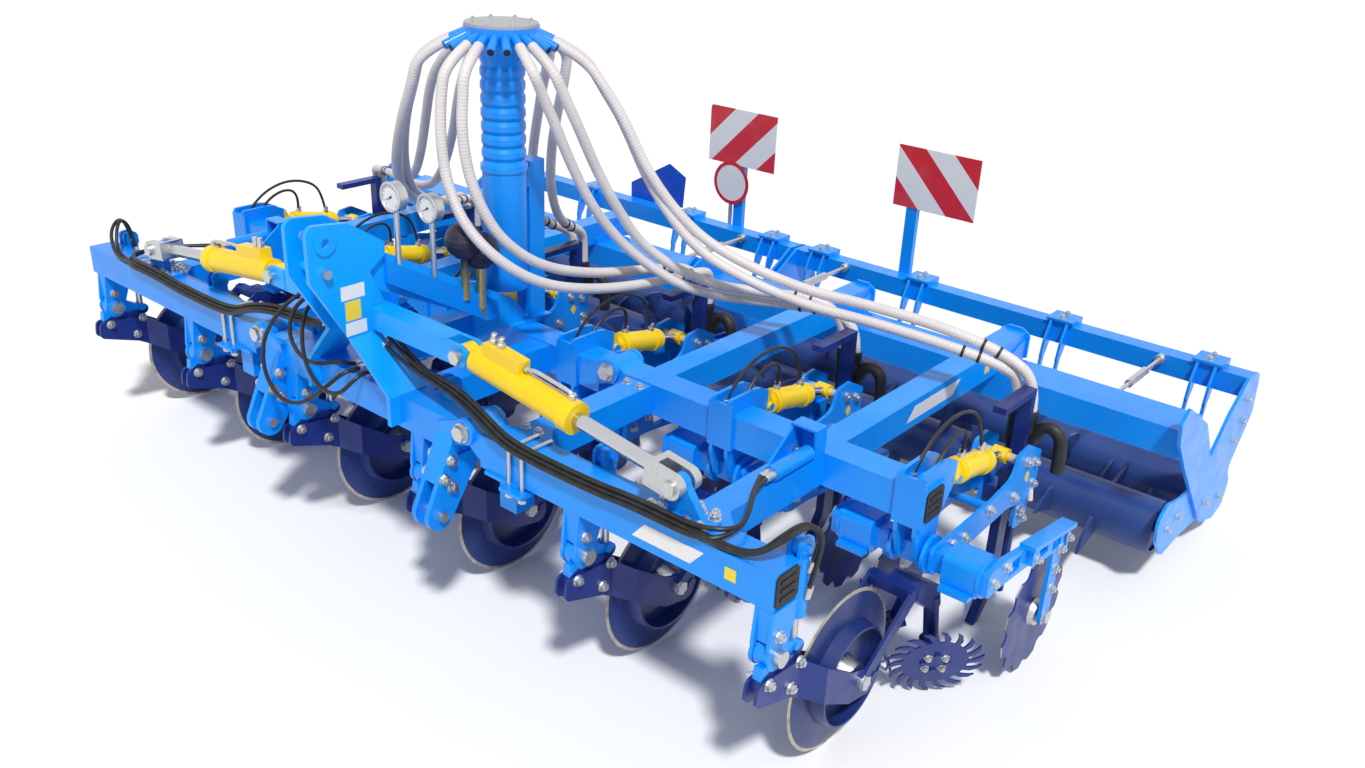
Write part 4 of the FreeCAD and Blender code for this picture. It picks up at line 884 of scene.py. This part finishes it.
def cylinder_pipes():
    """Steel pipe from the valve to the gland block on each folding cylinder."""
    run = ((.245, .066), (.285, .068), (.300, .076), (.330, .078), (.410, .078), (.450, .078), (.472, .074),
           (.476, .050))
    for side, sign in SIDES:
        up = (sign * -CYLINDER_WAY[1], 0, CYLINDER_WAY[0])
        way = (sign * CYLINDER_WAY[0], 0, CYLINDER_WAY[1])
        shapes = [pipe([along_barrel(sign, a, h) for a, h in run], .0065, 8),
                  disc(.0135, .026, along_barrel(sign, .476, .050), up, 6),
                  disc(.0110, .022, along_barrel(sign, .258, .066), way, 6)]
        for a in (.115, .150):
            shapes.append(disc(.0150, .020, along_barrel(sign, a, .085), up, 6))
            shapes.append(disc(.0105, .040, along_barrel(sign, a, .085), up, 12))
        piece("cylinder_pipe_" + side, "fold_barrel_" + side, shapes, [ZINC])


cylinder_pipes()


BEZEL = [(.044, 0), (.053, 0), (.055, .003), (.055, .007), (.051, .010), (.046, .009), (.044, .004),
         (.044, 0)]
DIAL_MARKS, DIAL_START, DIAL_STEP, NEEDLE = 13, -135, 22.5, -118
MARK_WIDTH, MARK_HEIGHT = .0014, .0008


def gauges():
    """Rims, faces, scale marks and needles of the two pressure gauges; they face forwards."""
    zinc, face, black = [], [], []
    for y, z in GAUGES:
        centre = Vector((GAUGE_X, y - .016, z))
        zinc.append(("centre_frame", turned(BEZEL, centre, (0, -1, 0), 32)))
        face.append(("centre_frame", disc(.0455, .003, centre, (0, -1, 0), 32)))

        def stroke(degrees, outline, lift, out, aside):
            a = math.radians(degrees)
            up = Vector((math.sin(a), 0, math.cos(a)))
            across = Vector((math.cos(a), 0, -math.sin(a)))
            corner = centre + Vector((0, -lift, 0)) + up * out - across * aside
            black.append(("centre_frame", slab(outline, corner, across, up, MARK_HEIGHT)))

        for k in range(DIAL_MARKS):
            long = .008 if k % 3 == 0 else .005
            stroke(DIAL_START + k * DIAL_STEP, rect(0, MARK_WIDTH, 0, long), .0030, .042 - long,
                   MARK_WIDTH / 2)
        stroke(NEEDLE, [(-.002, 0), (.002, 0), (.0005, .040), (-.0005, .040)], .0045, -.008, 0)
        black.append(("centre_frame", disc(.0045, .003, centre + Vector((0, -.003, 0)), (0, -1, 0))))
    pieces_by_body("gauge_bezels", [ZINC], zinc)
    pieces_by_body("gauge_dials", [DIAL_FACE], face)
    pieces_by_body("gauge_marks", [BLACK_RUBBER], black, False)


gauges()


def facing_front(outline, y):
    """Thin plate by its outline in x and z."""
    return slab(outline, (0, y, 0), (1, 0, 0), (0, 0, 1), PLATE)


def facing_side(outline, sign, x, y=0, z=0):
    """Thin plate on the outer side of sign times x, by its outline in y and z."""
    return slab(outline, (x if sign > 0 else -x - PLATE, y, z), (0, 1, 0), (0, 0, 1), PLATE)


def plates():
    """Blank plates and stickers."""
    slanted = [(1.335, .760), (1.560, .760), (1.608, .815), (1.383, .815)]
    white = [(side_name(1), facing_front(slanted, -.440))]
    yellow = [(side_name(1), facing_front(rect(1.685, 1.725, .768, .808), -.440))]
    for _, sign in SIDES:
        body = side_name(sign)
        white.append((body, facing_side([(.80, .765), (1.14, .765), (1.19, .818), (.85, .818)], sign, 1.55)))
        yellow.append((body, facing_side(rect(1.40, 1.44, .770, .810), sign, 1.55)))
    for row in ROWS:
        diamond = [(0, -.026), (.018, 0), (0, .026), (-.018, 0)]
        yellow.append((side_name(row), facing_side(diamond, 1, row + .090, .950, .650)))
    for _, sign in SIDES:
        for outline, target in ((rect(-.525, -.430, 1.172, 1.222), white),
                                (rect(-.512, -.450, 1.095, 1.165), yellow),
                                (rect(-.515, -.430, 1.040, 1.088), white)):
            target.append(("centre_frame", facing_side(outline, sign, .070)))
    pieces_by_body("blank_plates", [BLANK_WHITE], white, False)
    pieces_by_body("blank_stickers", [BLANK_YELLOW], yellow, False)


plates()


def beam_plugs():
    """Ribbed plugs with cut corners in the open beam ends."""
    half, cut = BEAM / 2 - .006, .012
    inner = half - cut
    outline = [(-inner, -half), (inner, -half), (half, -inner), (half, inner), (inner, half), (-inner, half),
               (-half, inner), (-half, -inner)]
    shapes = []
    for x, y, way in ((1.855, FRONT_Y, 1), (-1.985, FRONT_Y, -1), (1.925, MID_Y, 1), (-1.925, MID_Y, -1)):
        shapes.append((side_name(x), slab(outline, (x, y, BEAM_Z), (0, way, 0), (0, 0, 1), .005)))
        for k in (-1, 0, 1):
            rib = rect(.02 - half, half - .02, k * .028 - .005, k * .028 + .005)
            shapes.append((side_name(x), slab(rib, (x + way * .005, y, BEAM_Z), (0, way, 0), (0, 0, 1),
                                              .003)))
    pieces_by_body("beam_plugs", [BLACK_RUBBER], shapes)


beam_plugs()


def beam_straps():
    """U-bolts round each front beam and the plate they clamp under it."""
    zinc, blue = [], []
    front, rear, foot, top = -.448, -.312, .690, .8575
    for _, sign in SIDES:
        body = side_name(sign)
        for x in (sign * .808, sign * .868):
            rise = [(x, front, foot), (x, front, top), (x, rear, top), (x, rear, foot)]
            zinc.append((body, bent_rod(rise, .0070, .014)))
            for y in (front, rear):
                zinc.append((body, disc(.0150, .013, (x, y, .693), (0, 0, -1), 6)))
        x0, x1 = sorted((sign * .786, sign * .890))
        blue.append((body, block(x0, x1, -.475, -.285, .705, .718)))
    pieces_by_body("u_bolts", [ZINC], zinc)
    pieces_by_body("u_bolt_plates", [LIGHT_BLUE], blue, False)


beam_straps()


def turnbuckles():
    """Level threaded stays between the rear bar and the roller frame, near both ends of each wing."""
    zinc = []
    low, high, z = 1.735, 2.300, .690
    for _, sign in SIDES:
        body = side_name(sign)
        for x in (sign * .330, sign * 1.950):
            zinc.append((body, pipe([(x, low, z), (x, 2.0, z), (x, high, z)], .0095)))
            zinc.append((body, disc(.0190, .190, (x, 1.920, z), (0, 1, 0), 6)))
            for y, way in ((low, 1), (high, -1)):
                zinc.append((body, disc(.0210, .030, (x, y, z), (0, way, 0), 12)))
    pieces_by_body("turnbuckles", [ZINC], zinc)


turnbuckles()


def signs():
    """Plain round sign on its post and the back of the slow-vehicle sign, both on the rear bar."""
    centre, ahead = (-.496, 2.380, .944), (0, -1, 0)
    post = [("wing_right", block(-.506, -.486, 2.381, 2.390, .700, .960))]
    pieces_by_body("sign_posts", [ZINC], post, False)
    rim = turned([(.098, 0), (.118, 0), (.118, .003), (.098, .003), (.098, 0)], centre, ahead, 40)
    piece("round_sign", "wing_right", [(*rim, 1), (*disc(.099, .0025, centre, ahead, 40), 0)],
          [BLANK_WHITE, SIGN_RED])
    outline = [(-1.231, .699), (-.839, .725), (-.825, .903), (-.947, .960), (-1.234, .795)]
    piece("slow_sign", "wing_right", [slab(outline, (0, 2.392, 0), (1, 0, 0), (0, 0, 1), .003)], [SIGN_BLUE],
          False)


signs()


def all_bolts():
    """Bolt heads on the fixed nodes, one piece for each body."""
    group = {"centre_frame": "centre", "wing_left": "left", "wing_right": "right"}
    for row in ROWS:
        units, arms = (kind + group[side_name(row)] for kind in ("row_units_", "disc_arms_"))
        for y, z in ((.420, .610), (.500, .600), (.671, .630), (.857, .605), (.930, .715), (1.000, .690),
                     (1.010, .600), (.965, .500), (1.000, .455)):
            for s in (1, -1):
                bolt(units, (row + s * .090, y, z), (s, 0, 0), .018)
        for s in (1, -1):
            for z in (.516, .432, .350):
                bolt(units, (row + s * .300, .800, z), (s, 0, 0), .018)
            for y, z in ((.320, .600), (.400, .620), (.600, .565), (.840, .545)):
                bolt(units, (row + s * .300, y, z), (s, 0, 0), .016)
        for y, z in ((-.297, .496), (-.449, .500), (-.333, .422), (-.408, .640)):
            bolt(arms, (row - .012, y, z), (1, 0, 0), .018)
            bolt(arms, (row - .080, y, z), (-1, 0, 0), .018)
    for side, s in SIDES:
        for y, z in ((2.048, .225), (2.278, .160), (2.335, .606), (2.348, .496), (2.275, .430), (1.725, .289),
                     (1.614, .278)):
            bolt("roller_frame_" + side, (s * 2.318, y, z), (s, 0, 0), .016)
            bolt("roller_frame_" + side, (s * .012, y, z), (-s, 0, 0), .014)
        for x in (.160, .740, 1.480, 2.140):
            for y in (2.315, 2.375):
                bolt("rear_bar_" + side, (s * x, y, .736), (0, 0, 1), .016)
        for x in (.750, 1.500):
            for dx in (-.030, .030):
                for y in (-.290, .210):
                    bolt("arms_" + side, (s * (x + dx), y, .85), (0, 0, 1), .016)
        for x in (1.375, 1.405, 1.510, 1.560):
            for y in (-.405, -.335):
                bolt("front_beam_" + side, (s * x, y, .862), (0, 0, 1), .018)
        for x, out in ((.460, -s), (.546, s)):
            for y, z in ((-.47, .72), (-.47, .62), (-.50, .66)):
                bolt("centre_front_beam", (s * x, y, z), (out, 0, 0), .020)
    for k in range(8):
        a = math.pi / 8 + k * math.pi / 4
        bolt("distributor", (.115 * math.cos(a), HEAD_Y + .115 * math.sin(a), 2.02), (0, 0, 1), .009)
    tree = bolt_tree()
    for body in BY_BODY:
        grown("bolts_" + body, body, tree, [b[1:] for b in BOLTS if b[0] == body])


STAR_BOLT_R, STAR_BOLT_SIZE = 0.042, 0.013


def star_bolts():
    """Four bolts on each row-cleaner wheel's outer face, turning with it."""
    tree = bolt_tree()
    for i, row in enumerate(ROWS):
        for letter, side, x, y in (("l", 1, 0.105, 0.390), ("r", -1, 0.150, 0.430)):
            star = f"star_{i + 1}{letter}"
            low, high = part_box(star)
            hub = Vector((row + side * x, y, (low[2] + high[2]) / 2))
            way = Vector((side * 0.66, -0.68, -0.32)).normalized()
            across = way.orthogonal().normalized()
            other = way.cross(across)
            corners = (hub + (across * a + other * b) * STAR_BOLT_R
                       for a, b in ((1, 0), (0, 1), (-1, 0), (0, -1)))
            hits = (face_of(star, corner, way)[0] for corner in corners)
            bolts = [(hit, way, STAR_BOLT_SIZE) for hit in hits if hit]
            if bolts:
                grown("star_bolts_" + star[5:], star, tree, bolts)


all_bolts()
star_bolts()


# ---- camera, floor and light ----
CAMERA_AT = Vector((3.349, -3.6605, 2.663))
CAMERA_LOOKS_AT = Vector((-0.061, 0.5715, 0.164))
CAMERA_ROLL = math.radians(2.714)
CAMERA_WIDTH_ANGLE = math.radians(59.43)
FLOOR_HALF = 60.0
KEY_WAY, KEY_STRENGTH, KEY_ANGLE = (-0.55, 0.45, -1.0), 2.8, math.radians(6)
WORLD_LIGHT, WORLD_SEEN = 0.44, 1.0


def camera():
    """Camera placed by its position, the place it looks at and its roll."""
    data = bpy.data.cameras.new("camera")
    data.sensor_fit = "HORIZONTAL"
    data.sensor_width = 36.0
    data.angle_x = CAMERA_WIDTH_ANGLE
    data.clip_end = 200.0
    ob = stand("camera", data)
    view = (CAMERA_LOOKS_AT - CAMERA_AT).normalized()
    right = view.cross(Vector((0, 0, 1))).normalized()
    up = right.cross(view)
    c, s = math.cos(CAMERA_ROLL), math.sin(CAMERA_ROLL)
    right, up = right * c + up * s, up * c - right * s
    ob.matrix_world = Matrix((right, up, -view)).transposed().to_4x4()
    ob.matrix_world.translation = CAMERA_AT
    bpy.context.scene.camera = ob


def floor():
    """White ground under the wheels."""
    mesh = bpy.data.meshes.new("floor")
    corners = rect(-FLOOR_HALF, FLOOR_HALF, -FLOOR_HALF, FLOOR_HALF)
    mesh.from_pydata([(*c, 0) for c in corners], [], [(0, 1, 2, 3)])
    ob = stand("floor", mesh)
    mesh.materials.append(node_material("floor", (0.93, 0.93, 0.93), 0.9, 0.0, 0.1)[0])


def sun():
    """One light with soft-edged shadows, from the machine's front left and above."""
    data = bpy.data.lights.new("key", "SUN")
    data.energy = KEY_STRENGTH
    data.angle = KEY_ANGLE
    ob = stand("key", data)
    ob.rotation_euler = Vector(KEY_WAY).to_track_quat("-Z", "Y").to_euler()


def world():
    """White to the camera and in reflections, greyer as a light."""
    w = bpy.data.worlds.new("studio")
    bpy.context.scene.world = w
    w.use_nodes = True
    t = w.node_tree
    back = t.nodes["Background"]
    put(t, back.inputs["Color"], (1, 1, 1))
    put(t, back.inputs["Strength"], WORLD_LIGHT)
    white = add(t, "ShaderNodeBackground", {"Color": (1, 1, 1), "Strength": WORLD_SEEN})
    path = add(t, "ShaderNodeLightPath")
    either = maths(t, "MAXIMUM", path.outputs["Is Camera Ray"], path.outputs["Is Glossy Ray"])
    pick = add(t, "ShaderNodeMixShader", {0: either, 1: back.outputs[0], 2: white.outputs[0]})
    t.links.new(pick.outputs[0], t.nodes["World Output"].inputs["Surface"])


camera()
floor()
sun()
world()
bpy.context.scene.view_settings.view_transform = "Standard"
